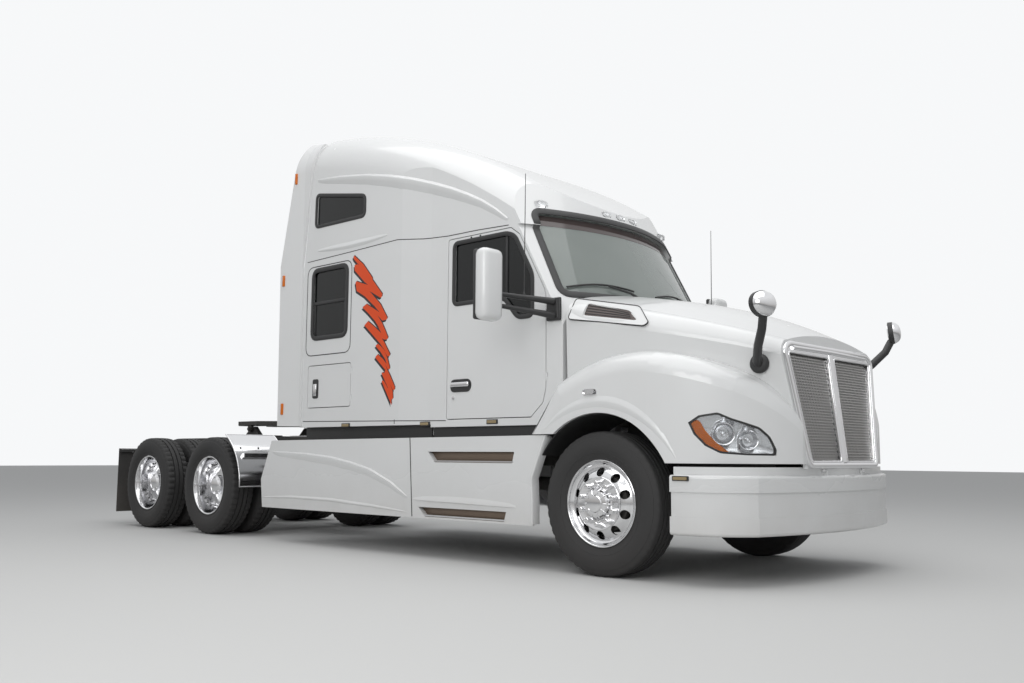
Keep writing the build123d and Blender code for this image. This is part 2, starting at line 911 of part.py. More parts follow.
# Columns: low station, high station, foot height, (foot and shoulder widths), (shoulder, crown)
nose_table = [
    (30, 130, 757, (545, 716), (1625, 1690)),
    (420, 450, 800, (640, 790), (1725, 1838)),
    (1050, 1050, 950, (850, 965), (1880, 2016)),
    (1720, 1720, 1000, (1030, 1050), (2035, 2140)),
]


def nose_form(inset):
    """The hood's middle, smaller by inset on every side but the bottom."""
    with BuildPart() as block:
        loft([
            nose_section(
                low_station + inset * (row == 0),
                high_station + inset * (row == 0),
                low - 2 * inset,
                (foot - inset, shoulder - inset),
                (shoulder_height - inset, crown - inset),
            ).face()
            for row, (low_station, high_station, low, (foot, shoulder), (shoulder_height, crown))
            in enumerate(nose_table)
        ])
    return block.part


def fender_form(hand, inset):
    """One fender: an arched side profile trimmed to the plan of the front corner."""
    inner_x = 420.0
    with BuildPart() as block:
        with BuildSketch(side.offset(hand * inner_x)):
            with BuildLine():
                Polyline(
                    (1925, 1010 - 3 * inset),
                    (1925, 1060),
                    (1700, 1370),
                )
                ThreePointArc((1700, 1370), (1010, 1560), (330, 1390))
                ThreePointArc((330, 1390), (140, 1240), (20, 1000))
                Polyline((20, 1000), (20, fender_base - 3 * inset), (1925, fender_base - 3 * inset))
                Line((1925, fender_base - 3 * inset), (1925, 1010 - 3 * inset))
            make_face()
            offset(amount=-inset)
        extrude(amount=hand * (fender_half_width - inset - inner_x))
        with BuildSketch(plan):
            with BuildLine():
                Line((hand * 300, 30 + inset), (hand * 600, 30 + inset))
                ThreePointArc(
                    (hand * 600, 30 + inset),
                    (hand * (1010 - 0.7 * inset), 300 + 0.7 * inset),
                    (hand * (fender_half_width - inset), 850),
                )
                Polyline(
                    (hand * (fender_half_width - inset), 850),
                    (hand * (fender_half_width - inset), 2000),
                    (hand * 300, 2000),
                    (hand * 300, 30 + inset),
                )
            make_face()
        extrude(amount=3000, mode=Mode.INTERSECT)
        crown_edges = block.edges().filter_by(
            lambda edge: edge.center().Z > 1200 and abs(edge.center().X) > 900 and edge.length > 300
        )
        fillet(crown_edges, radius=150 - inset)
    return block.part


with BuildPart() as hood_solid:
    add(nose_form(0))
    for hand in (-1, 1):
        add(fender_form(hand, 0))
hood_outer = hood_solid.part
with BuildPart() as hood_hollow:
    add(nose_form(hood_skin))
    for hand in (-1, 1):
        add(fender_form(hand, hood_skin))
hood_inner = hood_hollow.part

grille_outline = [
    (-540, grille_bottom), (-690, grille_top - 55), (-610, grille_top),
    (610, grille_top), (690, grille_top - 55), (540, grille_bottom),
]


def grille_prism(shrink, front, back):
    """Grille outline through the hood's face, between two stations."""
    with BuildPart() as prism:
        with BuildSketch(section(back)):
            with BuildLine():
                Polyline(*grille_outline, close=True)
            make_face()
            fillet(vertices(), radius=40)
            if shrink:
                offset(amount=-shrink)
        extrude(amount=back - front)
    return prism.part


lamp_outline = [
    (-258, 1057), (-200, 1103), (-90, 1122), (-10, 1085), (180, 1024), (250, 965), (295, 880), (290, 844),
    (90, 846), (-75, 857), (-165, 905), (-228, 980),
]
lamp_yaw = 35.0
lamp_centre_x = 990.0
lamp_centre_station = 350.0
lamp_depth = 70.0


def lamp_prism(hand, shrink):
    """Headlamp outline, seen square on from the truck's corner."""
    turn = math.radians(lamp_yaw)
    across = (hand * -math.cos(turn), -math.sin(turn), 0)
    face = Plane(
        origin=(hand * lamp_centre_x, lamp_centre_station - half_length, 0),
        x_dir=across,
        z_dir=(hand * math.sin(turn), -math.cos(turn), 0),
    )
    flip = 1 if hand < 0 else -1
    with BuildPart() as prism:
        with BuildSketch(face.offset(-320)):
            with BuildLine():
                Polyline(*[(x, flip * z if face.y_dir.Z < 0 else z) for x, z in lamp_outline], close=True)
            make_face()
            if shrink:
                offset(amount=-shrink)
        extrude(amount=700)
    return prism.part


screen_front = screen_form(-12)
with BuildPart() as screen_room:
    add(screen_front)
    add(box(-1500, 1500, 0, 5000, cowl_back_height - 60, 5000), mode=Mode.INTERSECT)
screen_clearance = screen_room.part

# Recess of the air vent on each side, near the windscreen
vent_depth = 16.0
vent_outline = [(1540, 1963), (1190, 1880), (1105, 1806), (1120, 1798), (1540, 1866)]
vent_core = nose_form(vent_depth)
vents = []
for hand in (-1, 1):
    with BuildPart() as vent:
        add(slab(vent_outline, *sorted((hand * 860, hand * 1150))))
        add(vent_core, mode=Mode.SUBTRACT)
    vents.append(vent.part)

with BuildPart() as hood_shell:
    add(hood_outer)
    add(hood_inner, mode=Mode.SUBTRACT)
    for hand in (-1, 1):
        with BuildSketch(side.offset(hand * 560)):
            with Locations((front_axle_station, axle_height)):
                Circle(arch_radius)
        extrude(amount=hand * 800, mode=Mode.SUBTRACT)
        add(lamp_prism(hand, 0), mode=Mode.SUBTRACT)
    add(grille_prism(0, -200, 400), mode=Mode.SUBTRACT)
    add(vents, mode=Mode.SUBTRACT)
    add(box(-1040, 1040, hood_back, 2100, 700, 2300), mode=Mode.SUBTRACT)
    add(box(-1500, 1500, 1000, 2100, 600, skirt_top + panel_gap), mode=Mode.SUBTRACT)
    for hand in (-1, 1):
        low_x, high_x = sorted((hand * 1000, hand * (cab_half_width + 10)))
        add(box(low_x, high_x, hood_back, 2100, 700, 2300), mode=Mode.SUBTRACT)
    add(screen_clearance, mode=Mode.SUBTRACT)
    for hand in (-1, 1):
        with BuildSketch(side.offset(hand * 292 - 42)):
            with Locations((hood_pivot_station, hood_pivot_height)):
                Circle(24)
        extrude(amount=84, mode=Mode.SUBTRACT)
finish(hood_shell.part, "hood_shell")

# Grille: surround and centre bar, with a honeycomb panel each side of the bar
grille_lean = math.atan2(grille_rake, grille_top - grille_bottom)
mesh_plane = Plane(
    origin=(0, grille_front + grille_depth - half_length, grille_bottom),
    x_dir=(1, 0, 0),
    z_dir=(0, -math.cos(grille_lean), math.sin(grille_lean)),
)
surround = slab(
    [
        (grille_front, grille_bottom),
        (grille_front + grille_rake, grille_top),
        (grille_front + grille_rake + grille_depth, grille_top),
        (grille_front + grille_depth, grille_bottom),
    ],
    -720,
    720,
)
grille_fill = grille_prism(seat_gap, -200, 400)
window_bottom = grille_bottom + 40
window_top = grille_top - 75
window_foot = 490.0
window_head = 628.0
centre_bar = 42.0


def grille_window(hand, grow):
    """Corners of one side's opening, wider by grow, as (x, height)."""
    return [
        (hand * (centre_bar - grow), window_bottom - grow),
        (hand * (window_foot + grow), window_bottom - grow),
        (hand * (window_head + grow), window_top + grow),
        (hand * (centre_bar - grow), window_top + grow),
    ]


def on_mesh_plane(corners):
    """The same corners measured up the leaning face."""
    return [(x, (height - grille_bottom) / math.cos(grille_lean)) for x, height in corners]


mesh_row = mesh_pitch * math.sqrt(3) / 2
mesh_rows = int((window_top - window_bottom) / mesh_row) + 2
mesh_columns = int(window_head / mesh_pitch) + 2
panels = []
for hand in (-1, 1):
    centres = [
        (hand * (centre_bar + mesh_pitch * (column + 0.5 * (row % 2))), 40 + mesh_row * (row + 0.4))
        for row in range(mesh_rows)
        for column in range(mesh_columns)
    ]
    with BuildSketch(mesh_plane) as cells:
        with Locations(*centres):
            RegularPolygon((mesh_pitch - mesh_bar) / 2, 6, major_radius=False, rotation=30)
        with BuildLine():
            Polyline(*on_mesh_plane(grille_window(hand, -4)), close=True)
        make_face(mode=Mode.INTERSECT)
    with BuildPart() as panel:
        with BuildSketch(mesh_plane):
            with BuildLine():
                Polyline(*on_mesh_plane(grille_window(hand, 6)), close=True)
            make_face()
            add(cells.sketch_local, mode=Mode.SUBTRACT)
        extrude(amount=mesh_depth)
    panels.append(panel.part)

with BuildPart() as grille:
    add(surround)
    add(grille_fill, mode=Mode.INTERSECT)
    for hand in (-1, 1):
        with BuildSketch(section(400)):
            with BuildLine():
                Polyline(*grille_window(hand, 0), close=True)
            make_face()
        extrude(amount=600, mode=Mode.SUBTRACT)
    add(panels)
    for hand in (-1, 1):
        with BuildSketch(side.offset(hand * 308 - 17)):
            with Locations((hood_pivot_station, hood_pivot_height)):
                Circle(17)
            with Locations((hood_pivot_station, (hood_pivot_height + 775) / 2)):
                Rectangle(24, 775 - hood_pivot_height)
            with Locations((hood_pivot_station, hood_pivot_height)):
                Circle(hood_pin_radius + pin_clearance, mode=Mode.SUBTRACT)
        extrude(amount=34)
finish(grille.part, "grille")

lamps = []
for hand in (-1, 1):
    with BuildPart() as lamp:
        add(hood_outer)
        add(lamp_prism(hand, seat_gap), mode=Mode.INTERSECT)
        add(fender_form(hand, lamp_depth), mode=Mode.SUBTRACT)
    lamps.append(lamp.part.solids().sort_by(SortBy.VOLUME)[-1])
finish(Compound(children=lamps), "headlamps")


def rod(points, radius, bend):
    """A round bar along straight runs joined by bends."""
    with BuildPart() as bar:
        with BuildLine() as path:
            FilletPolyline(*points, radius=bend)
        with BuildSketch(Plane(origin=path.line @ 0, z_dir=path.line % 0)):
            Circle(radius)
        sweep()
    return bar.part


# Mirrors on the hood
hood_mirrors = []
for hand in (-1, 1):
    arm = rod(
        [
            (hand * 735, 262 - half_length, 1460),
            (hand * 800, 250 - half_length, 1500),
            (hand * 1000, 75 - half_length, 1760),
        ],
        17,
        40,
    )
    with BuildPart() as hood_mirror:
        with Locations((hand * 1020, 62 - half_length, 1815)):
            Box(190, 110, 170)
        fillet(hood_mirror.edges(), radius=32)
        add(arm)
        add(hood_outer, mode=Mode.SUBTRACT)
    hood_mirrors.append(hood_mirror.part)
finish(Compound(children=hood_mirrors), "hood_mirrors")

# Bumper with its brackets and the hood's hinge pins
with BuildSketch(Plane.XY) as bumper_plan:
    with BuildLine():
        ThreePointArc((-980, 147), (0, 0), (980, 147))
        ThreePointArc((980, 147), (1165, 345), (1222, 665))
        Line((1222, 665), (-1222, 665))
        ThreePointArc((-1222, 665), (-1165, 345), (-980, 147))
    make_face()
with BuildSketch(Plane.XY) as bumper_groove:
    add(bumper_plan.sketch)
    offset(amount=-band_depth, mode=Mode.SUBTRACT)
with BuildPart() as bumper:
    with BuildSketch(plan.offset(bumper_bottom)):
        add(bumper_plan.sketch)
    extrude(amount=bumper_top - bumper_bottom)
    front_edges = bumper.edges().filter_by(GeomType.CIRCLE)
    fillet(front_edges, radius=22)
    with BuildSketch(plan.offset(band_bottom)):
        add(bumper_groove.sketch)
    extrude(amount=band_top - band_bottom, mode=Mode.SUBTRACT)
    with BuildSketch(plan.offset(bumper_bottom)):
        with BuildLine():
            ThreePointArc((-960, 147 + bumper_wall), (0, bumper_wall), (960, 147 + bumper_wall))
            ThreePointArc((960, 147 + bumper_wall), (1125, 370), (1222 - bumper_wall, 700))
            Line((1222 - bumper_wall, 700), (bumper_wall - 1222, 700))
            ThreePointArc((bumper_wall - 1222, 700), (-1125, 370), (-960, 147 + bumper_wall))
        make_face()
    extrude(amount=bumper_top - bumper_bottom, mode=Mode.SUBTRACT)
    for hand in (-1, 1):
        bracket = [
            (bumper_wall - 10, 430), (bumper_wall - 10, 640), (260, rail_bottom - seat_gap),
            (470, rail_bottom - seat_gap), (470, 710), (300, 600), (220, 430),
        ]
        with BuildSketch(side.offset(hand * 385 - 35)):
            with BuildLine():
                Polyline(*bracket, close=True)
            make_face()
        extrude(amount=70)
        with BuildSketch(side.offset(hand * 270 - 10)):
            with Locations((hood_pivot_station, hood_pivot_height)):
                Circle(11)
            with Locations((hood_pivot_station - 12, (hood_pivot_height + 690) / 2)):
                Rectangle(20, hood_pivot_height - 690)
        extrude(amount=20)
        with BuildSketch(side.offset(hand * 298 - 33)):
            with Locations((hood_pivot_station, hood_pivot_height)):
                Circle(hood_pin_radius)
        extrude(amount=66)
finish(bumper.part, "bumper")

# Side skirts with the two cab steps
skirts = []
skirt_outline = [
    (1888, skirt_bottom), (1900, 660), (1760, skirt_top),
    (5323, skirt_top - 20), (5489, 588), (5454, skirt_bottom),
]
for hand in (-1, 1):
    low_x, high_x = sorted((hand * skirt_outer_x, hand * (skirt_outer_x - skirt_wall)))
    with BuildPart() as skirt:
        add(slab(skirt_outline, low_x, high_x))
        for s_low, s_high, z_low, z_high in ((2080, 3050, 776, 862), (2160, 3160, 335, 410)):
            add(box(low_x - 5, high_x + 5, s_low, s_high, z_low, z_high), mode=Mode.SUBTRACT)
            tread = sorted((hand * (skirt_outer_x - 190), hand * skirt_outer_x))
            add(box(*tread, s_low, s_high, z_low - 15, z_low))
        for s_low, s_high in ((1990, 2075), (3200, 3285), (5200, 5285)):
            shelf = sorted((hand * (rail_outer_x + seat_gap), hand * (skirt_outer_x - 5)))
            add(box(*shelf, s_low, s_high, 945, 963))
        cover = sorted((hand * 1010, hand * (skirt_outer_x - 5)))
        add(box(*cover, 1990, 5290, 955, 963))
        lower = sorted((hand * (skirt_outer_x - 190), hand * (skirt_outer_x - 170)))
        add(box(*lower, 2160, 3160, skirt_bottom, 960))
    skirts.append(skirt.part)
finish(Compound(children=skirts), "side_skirts")


def extender_band(station, reach, hand):
    """Section of a side extender: upright wall, then a quarter turn inwards."""
    middle = 710.0
    height = 3618.0
    outer = reach - middle
    inner = outer - 22
    half = math.sqrt(0.5)
    with BuildSketch(section(station)) as band:
        with BuildLine():
            Line((hand * middle, height + outer), (hand * middle, height + inner))
            ThreePointArc(
                (hand * middle, height + inner),
                (hand * (middle + inner * half), height + inner * half),
                (hand * (middle + inner), height),
            )
            Polyline(
                (hand * (middle + inner), height),
                (hand * (middle + inner), 1000),
                (hand * (middle + outer), 1000),
                (hand * (middle + outer), height),
            )
            ThreePointArc(
                (hand * (middle + outer), height),
                (hand * (middle + outer * half), height + outer * half),
                (hand * middle, height + outer),
            )
        make_face()
    return band.sketch


extenders = []
extender_trim = [(4985, 1100), (5022, 2690), (4868, 3900), (5094, 3942), (5300, 2684), (5280, 1106)]
for hand in (-1, 1):
    with BuildPart() as extender:
        seated = sleeper_half_width + 22 + seat_gap
        loft(
            [
                extender_band(4840, seated, hand).face(),
                extender_band(sleeper_back, seated, hand).face(),
                extender_band(5310, 1180, hand).face(),
            ],
            ruled=True,
        )
        add(slab(extender_trim, *sorted((hand * 400, hand * 1300))), mode=Mode.INTERSECT)
    extenders.append(extender.part)
finish(Compound(children=extenders), "side_extenders")

# Main mirrors on the cowl
mirrors = []
for hand in (-1, 1):
    with BuildPart() as mirror:
        with Locations((hand * 1575, 1985 - half_length, 2085)):
            Box(215, 110, 536)
        fillet(mirror.edges(), radius=30)
        foot = sorted((hand * (cab_half_width + seat_gap), hand * (cab_half_width + 32)))
        add(box(*foot, 1738, 1868, 1853, 2021))
        for height in (1885, 1990):
            with BuildSketch(side.offset(hand * (cab_half_width + 20))):
                with Locations((1803, height)):
                    Rectangle(56, 30)
            with BuildSketch(side.offset(hand * 1480)):
                with Locations((1960, height)):
                    Rectangle(56, 30)
            loft()
    mirrors.append(mirror.part)
finish(Compound(children=mirrors), "main_mirrors")

# Quarter fenders ahead of the first drive axle
fenders = []
guard_radius = 622.0
for hand in (-1, 1):
    with BuildPart() as guard:
        station = drive_axle_stations[0]
        with BuildSketch(side.offset(hand * 640)):
            with BuildLine():
                start = math.radians(122)
                middle = math.radians(151)
                for radius in (guard_radius, guard_radius - 6):
                    ThreePointArc(
                        (station + radius * math.cos(start), axle_height + radius * math.sin(start)),
                        (station + radius * math.cos(middle), axle_height + radius * math.sin(middle)),
                        (station - radius, axle_height),
                    )
                Line((station - guard_radius, axle_height), (station - guard_radius + 6, axle_height))
                Line(
                    (station + guard_radius * math.cos(start), axle_height + guard_radius * math.sin(start)),
                    (
                        station + (guard_radius - 6) * math.cos(start),
                        axle_height + (guard_radius - 6) * math.sin(start),
                    ),
                )
            make_face()
        extrude(amount=hand * 585)
        bar = sorted((hand * (rail_outer_x + seat_gap), hand * 1150))
        add(box(*bar, 5885, 5925, 800, 840))
    fenders.append(guard.part)
finish(Compound(children=fenders), "quarter_fenders")

# Mud flaps on their hangers
flaps = []
flap_thickness = 8.0
flap_top = 890.0
for hand in (-1, 1):
    with BuildPart() as flap:
        flap_front = overall_length - flap_thickness
        hanger = rail_outer_x + seat_gap
        add(box(*sorted((hand * 615, hand * 1222)), flap_front, overall_length, 150, flap_top))
        bar = sorted((hand * hanger, hand * 1215))
        add(box(*bar, flap_front - 30, flap_front, flap_top - 40, flap_top - 10))
        add(box(*sorted((hand * hanger, hand * (hanger + 30))), rail_end - 70, flap_front, 800, 930))
    flaps.append(flap.part)
finish(Compound(children=flaps), "mud_flaps")

# Rear light bar and deck plate
with BuildPart() as rear_lights:
    add(box(-rail_outer_x, rail_outer_x, rail_end + seat_gap, rail_end + 14, 800, 930))
    for x in (-340, -230, 230, 340):
        with BuildSketch(section(rail_end + 32)):
            with Locations((x, 865)):
                Circle(52)
        extrude(amount=20)
finish(rear_lights.part, "rear_lights")
finish(box(-430, 430, 5460, 6150, rail_top + seat_gap, rail_top + 12), "deck_plate")

# Fifth wheel: base with pivot pins, and the tilting plate
coupling_pin = 20.0
with BuildPart() as coupling_base:
    for hand in (-1, 1):
        add(box(*sorted((hand * 300, hand * rail_outer_x)), 6480, 7420, rail_top + seat_gap, rail_top + 22))
        with BuildSketch(side.offset(hand * 366 - 26)):
            with BuildLine():
                Polyline(
                    (coupling_station - 150, rail_top + 20),
                    (coupling_station - 30, coupling_pivot_height + 28),
                    (coupling_station + 30, coupling_pivot_height + 28),
                    (coupling_station + 150, rail_top + 20),
                    close=True,
                )
            make_face()
        extrude(amount=52)
        with BuildSketch(side.offset(hand * 390)):
            with Locations((coupling_station, coupling_pivot_height)):
                Circle(coupling_pin)
        extrude(amount=hand * 60)
    add(box(-310, 310, 6880, 7020, rail_top + seat_gap, rail_top + 22))
finish(coupling_base.part, "fifth_wheel_base")

plate_low = coupling_top - coupling_plate
with BuildPart() as coupling:
    with BuildSketch(plan.offset(plate_low)):
        with BuildLine():
            Polyline(
                (-300, coupling_station - 380),
                (300, coupling_station - 380),
                (455, coupling_station - 180),
                (455, coupling_station + 200),
                (250, coupling_station + 520),
                (130, coupling_station + 520),
                (30, coupling_station + 160),
                (-30, coupling_station + 160),
                (-130, coupling_station + 520),
                (-250, coupling_station + 520),
                (-455, coupling_station + 200),
                (-455, coupling_station - 180),
                close=True,
            )
        make_face()
        with Locations((0, coupling_station)):
            Circle(king_pin_radius, mode=Mode.SUBTRACT)
        with Locations((0, coupling_station + 85)):
            Rectangle(2 * (king_pin_radius - 4), 160, mode=Mode.SUBTRACT)
    extrude(amount=coupling_plate)
    for hand in (-1, 1):
        with BuildSketch(side.offset(hand * 416 - 15)):
            with Locations((coupling_station, coupling_pivot_height)):
                Circle(36)
            with Locations((coupling_station, (plate_low + coupling_pivot_height) / 2)):
                Rectangle(72, plate_low - coupling_pivot_height + 2)
            with Locations((coupling_station, coupling_pivot_height)):
                Circle(coupling_pin + pin_clearance, mode=Mode.SUBTRACT)
        extrude(amount=30)
finish(coupling.part, "fifth_wheel_plate")

# Inside the cab
dash_outline = [(1765.3, 1400), (1765.3, 1700), (1835, 1925), (2060, 1985), (2190, 1800), (2120, 1400)]
finish(slab(dash_outline, -980, 980), "dashboard")
wheel_tilt = math.radians(40)
steering_plane = Plane(
    origin=(500, 2330 - half_length, 1850),
    x_dir=(1, 0, 0),
    z_dir=(0, math.cos(wheel_tilt), math.sin(wheel_tilt)),
)
with BuildPart() as steering_wheel:
    with BuildSketch(steering_plane.offset(-14)):
        Circle(228)
        Circle(200, mode=Mode.SUBTRACT)
        Rectangle(410, 44)
        Circle(60)
    extrude(amount=28)
    with BuildSketch(steering_plane.offset(-14)):
        Circle(32)
    extrude(amount=-420)
    add(slab(dash_outline, -980, 980), mode=Mode.SUBTRACT)
finish(steering_wheel.part.solids().sort_by(SortBy.VOLUME)[-1], "steering_wheel")
seat_outline = [
    (2500, cab_floor + wall + seat_gap), (2900, cab_floor + wall + seat_gap), (2900, 1440), (3060, 1480),
    (3170, 2290), (3050, 2330), (2950, 1640), (2430, 1640), (2430, 1500), (2500, 1440),
]
seat_list = [slab(seat_outline, x - 250, x + 250) for x in (-500, 500)]
finish(Compound(children=seat_list), "seats")
bunk_outline = [
    (4100, sleeper_floor + wall + seat_gap), (4140, sleeper_floor + wall + seat_gap), (4140, 1720),
    (sleeper_back - wall - seat_gap, 1720), (sleeper_back - wall - seat_gap, 1890), (4100, 1890),
]
finish(slab(bunk_outline, -1040, 1040), "bunk")

# Marker lamps on the roof's brow
markers = []
marker_height = screen_top_height + 52
for x in (-825, -180, 0, 180, 825):
    slope = (marker_height - screen_base_height) / math.tan(screen_rake)
    station = screen_base_station + slope + screen_bow * (x / screen_half_width) ** 2
    with BuildPart() as marker:
        with Locations((x, station - half_length, marker_height)):
            Box(110, 90, 60)
        fillet(marker.edges(), radius=18)
        add(roof_outer, mode=Mode.SUBTRACT)
    markers.append(marker.part.solids().sort_by(SortBy.VOLUME)[-1])
finish(Compound(children=markers), "roof_markers")
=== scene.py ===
import bpy
import bmesh
import math
from mathutils import Vector, Matrix
from mathutils.bvhtree import BVHTree
from mathutils.geometry import delaunay_2d_cdt


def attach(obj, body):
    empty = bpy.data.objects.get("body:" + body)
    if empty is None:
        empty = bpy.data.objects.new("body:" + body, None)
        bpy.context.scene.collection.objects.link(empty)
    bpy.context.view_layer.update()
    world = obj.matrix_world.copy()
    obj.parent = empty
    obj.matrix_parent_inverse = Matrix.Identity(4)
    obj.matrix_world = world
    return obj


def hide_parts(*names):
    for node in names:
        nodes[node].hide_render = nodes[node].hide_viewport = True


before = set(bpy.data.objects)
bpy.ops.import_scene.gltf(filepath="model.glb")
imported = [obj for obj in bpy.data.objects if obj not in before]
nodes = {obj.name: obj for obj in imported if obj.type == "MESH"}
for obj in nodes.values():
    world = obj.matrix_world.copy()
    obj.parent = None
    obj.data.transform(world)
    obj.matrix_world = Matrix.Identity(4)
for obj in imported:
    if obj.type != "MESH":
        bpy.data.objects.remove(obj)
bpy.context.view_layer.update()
scene = bpy.context.scene
halfLength = 4.25  # a station is the distance back from the bumper's front
sides = ((-1, "right"), (1, "left"))
xAxis, yAxis, zAxis = Vector((1, 0, 0)), Vector((0, 1, 0)), Vector((0, 0, 1))


def place(x, station, height):
    return Vector((x, station - halfLength, height))


def sided(hand, *points):
    # points given for the left side, placed on either
    return [place(hand * x, station, height) for x, station, height in points]


def mm(*values):
    # pairs in metres, from a row of millimetres
    return [(a / 1000, b / 1000) for a, b in zip(values[::2], values[1::2])]


def newObject(name, data):
    obj = bpy.data.objects.new(name, data)
    scene.collection.objects.link(obj)
    return obj


# Shader nodes
def feed(tree, node, values):
    # an input gets a link when its value is a socket; colours are given as three numbers
    for key, value in values.items():
        socket = node.inputs[key]
        if isinstance(value, bpy.types.NodeSocket):
            tree.links.new(value, socket)
        else:
            socket.default_value = (*value, 1) if socket.type == "RGBA" else value


def addNode(tree, kind, **values):
    node = tree.nodes.new(kind)
    feed(tree, node, values)
    return node


def mathNode(tree, operation, *values, clamp=False):
    node = tree.nodes.new("ShaderNodeMath")
    node.operation = operation
    node.use_clamp = clamp
    feed(tree, node, dict(enumerate(values)))
    return node.outputs[0]


def mixColour(tree, factor, first, second):
    node = tree.nodes.new("ShaderNodeMix")
    node.data_type = "RGBA"
    feed(tree, node, {"Factor": factor, "A": first, "B": second})
    return node.outputs["Result"]


def splitNode(tree, vector):
    return addNode(tree, "ShaderNodeSeparateXYZ", Vector=vector).outputs


def noiseNode(tree, vector, scale, detail=2.0):
    return addNode(tree, "ShaderNodeTexNoise", Vector=vector, Scale=scale, Detail=detail).outputs["Fac"]


# Camera, light, floor
view = {"spot": (-6.749, -7.358, 0.834), "yaw": 46.77, "pitch": 6.51, "roll": 0.36, "lens": 35.14}
studio = {
    "sky": (0.93, 0.94, 0.95),
    "ambient": 0.44,
    "ambientTint": (0.95, 0.97, 1.0),
    "ground": (0.42, 0.41, 0.40),
    "horizon": (0.62, 0.62, 0.62),
    "floor": (0.60, 0.60, 0.59),
    "overhead": 500.0,
    "side": 250.0,
}


def makeCamera():
    yaw, pitch, roll = (math.radians(view[k]) for k in ("yaw", "pitch", "roll"))
    right = Vector((math.cos(yaw), -math.sin(yaw), 0))
    ahead = Vector((math.sin(yaw) * math.cos(pitch), math.cos(yaw) * math.cos(pitch), math.sin(pitch)))
    up = right.cross(ahead)
    across = math.cos(roll) * right + math.sin(roll) * up
    upright = -math.sin(roll) * right + math.cos(roll) * up
    data = bpy.data.cameras.new("photoCamera")
    data.lens = view["lens"]
    data.sensor_width = 36
    data.clip_end = 200
    camera = newObject("photoCamera", data)
    camera.matrix_world = Matrix.Translation(view["spot"]) @ Matrix((across, upright, -ahead)).transposed().to_4x4()
    scene.camera = camera


def softLight(name, spot, target, size, power):
    data = bpy.data.lights.new(name, "AREA")
    data.shape = "RECTANGLE"
    data.size, data.size_y = size
    data.energy = power
    lamp = newObject(name, data)
    lamp.location = spot
    lamp.rotation_euler = (Vector(target) - Vector(spot)).to_track_quat("-Z", "Y").to_euler()


def makeWorld():
    # the camera and shiny surfaces see the sky, everything else is lit by the plain ambient colour
    world = bpy.data.worlds.new("studio")
    scene.world = world
    world.use_nodes = True
    tree = world.node_tree
    tree.nodes.clear()
    rays = addNode(tree, "ShaderNodeLightPath").outputs
    height = splitNode(tree, addNode(tree, "ShaderNodeTexCoord").outputs["Generated"])["Z"]
    ramp = addNode(tree, "ShaderNodeValToRGB", Fac=height)
    stops = ramp.color_ramp.elements
    stops[0].color = (*studio["ground"], 1)
    stops[1].color = (*studio["sky"], 1)
    stops[1].position = 0.55
    stops.new(0.12).color = (*studio["horizon"], 1)
    sky = mixColour(tree, rays["Is Camera Ray"], ramp.outputs["Color"], studio["sky"])
    dim = addNode(tree, "ShaderNodeBackground", Color=studio["ambientTint"], Strength=studio["ambient"])
    bright = addNode(tree, "ShaderNodeBackground", Color=sky)
    seen = mathNode(tree, "MAXIMUM", rays["Is Camera Ray"], rays["Is Glossy Ray"])
    mix = addNode(tree, "ShaderNodeMixShader", Fac=mathNode(tree, "MAXIMUM", seen, rays["Is Transmission Ray"]))
    feed(tree, mix, {1: dim.outputs[0], 2: bright.outputs[0]})
    addNode(tree, "ShaderNodeOutputWorld", Surface=mix.outputs[0])


def makeFloor(half=60):
    mesh = bpy.data.meshes.new("floor")
    mesh.from_pydata([(-half, -half, 0), (half, -half, 0), (half, half, 0), (-half, half, 0)], [], [(0, 1, 2, 3)])
    material = bpy.data.materials.new("floorPaint")
    material.use_nodes = True
    tree = material.node_tree
    feed(tree, tree.nodes["Principled BSDF"], {"Base Color": studio["floor"], "Roughness": 0.85})
    mesh.materials.append(material)
    newObject("floor", mesh)


makeCamera()
makeWorld()
makeFloor()
softLight("overhead", (-1.5, -2.0, 9.0), (0, 0, 1), (10, 12), studio["overhead"])
softLight("sideFill", (-9.0, -6.0, 4.5), (0, -0.5, 1.4), (6, 4), studio["side"])
scene.view_settings.view_transform = "Standard"
print("stage ready")


# Finishes
def makeGroup(name, inputs, outputs, wires):
    group = bpy.data.node_groups.new(name, "ShaderNodeTree")
    for label, value in inputs.items():
        socket = group.interface.new_socket(label, in_out="INPUT", socket_type="NodeSocketFloat")
        socket.default_value = value
    for label in outputs:
        group.interface.new_socket(label, in_out="OUTPUT", socket_type="NodeSocketFloat")
    given = addNode(group, "NodeGroupInput").outputs
    coord = addNode(group, "ShaderNodeTexCoord").outputs["Object"]
    addNode(group, "NodeGroupOutput", **dict(zip(outputs, wires(group, given, coord))))
    return group


def grainWires(group, given, coord):
    fine = noiseNode(group, coord, given["Scale"], 3)
    return noiseNode(group, coord, 2.2), mathNode(group, "MULTIPLY", fine, given["Depth"])


def filmWires(group, given, coord):
    rise = mathNode(group, "DIVIDE", splitNode(group, coord)["Z"], given["Top"])
    low = mathNode(group, "SUBTRACT", 1.0, rise, clamp=True)
    spread = mathNode(group, "MULTIPLY", mathNode(group, "MULTIPLY", low, low), noiseNode(group, coord, 3.5, 5))
    return (mathNode(group, "MULTIPLY", spread, given["Amount"], clamp=True),)


def weaveWires(group, given, coord):
    waves = []
    for part in splitNode(group, coord):
        turn = mathNode(group, "DIVIDE", part, given["Pitch"])
        waves.append(mathNode(group, "SINE", mathNode(group, "MULTIPLY", turn, 6.2832)))
    total = mathNode(group, "ADD", mathNode(group, "ADD", waves[0], waves[1]), waves[2])
    return noiseNode(group, coord, 9), total


def brushWires(group, given, coord):
    drawn = addNode(group, "ShaderNodeMapping", Vector=coord, Scale=(1.0, 0.12, 0.12))
    marks = noiseNode(group, drawn.outputs["Vector"], given["Scale"])
    return marks, marks


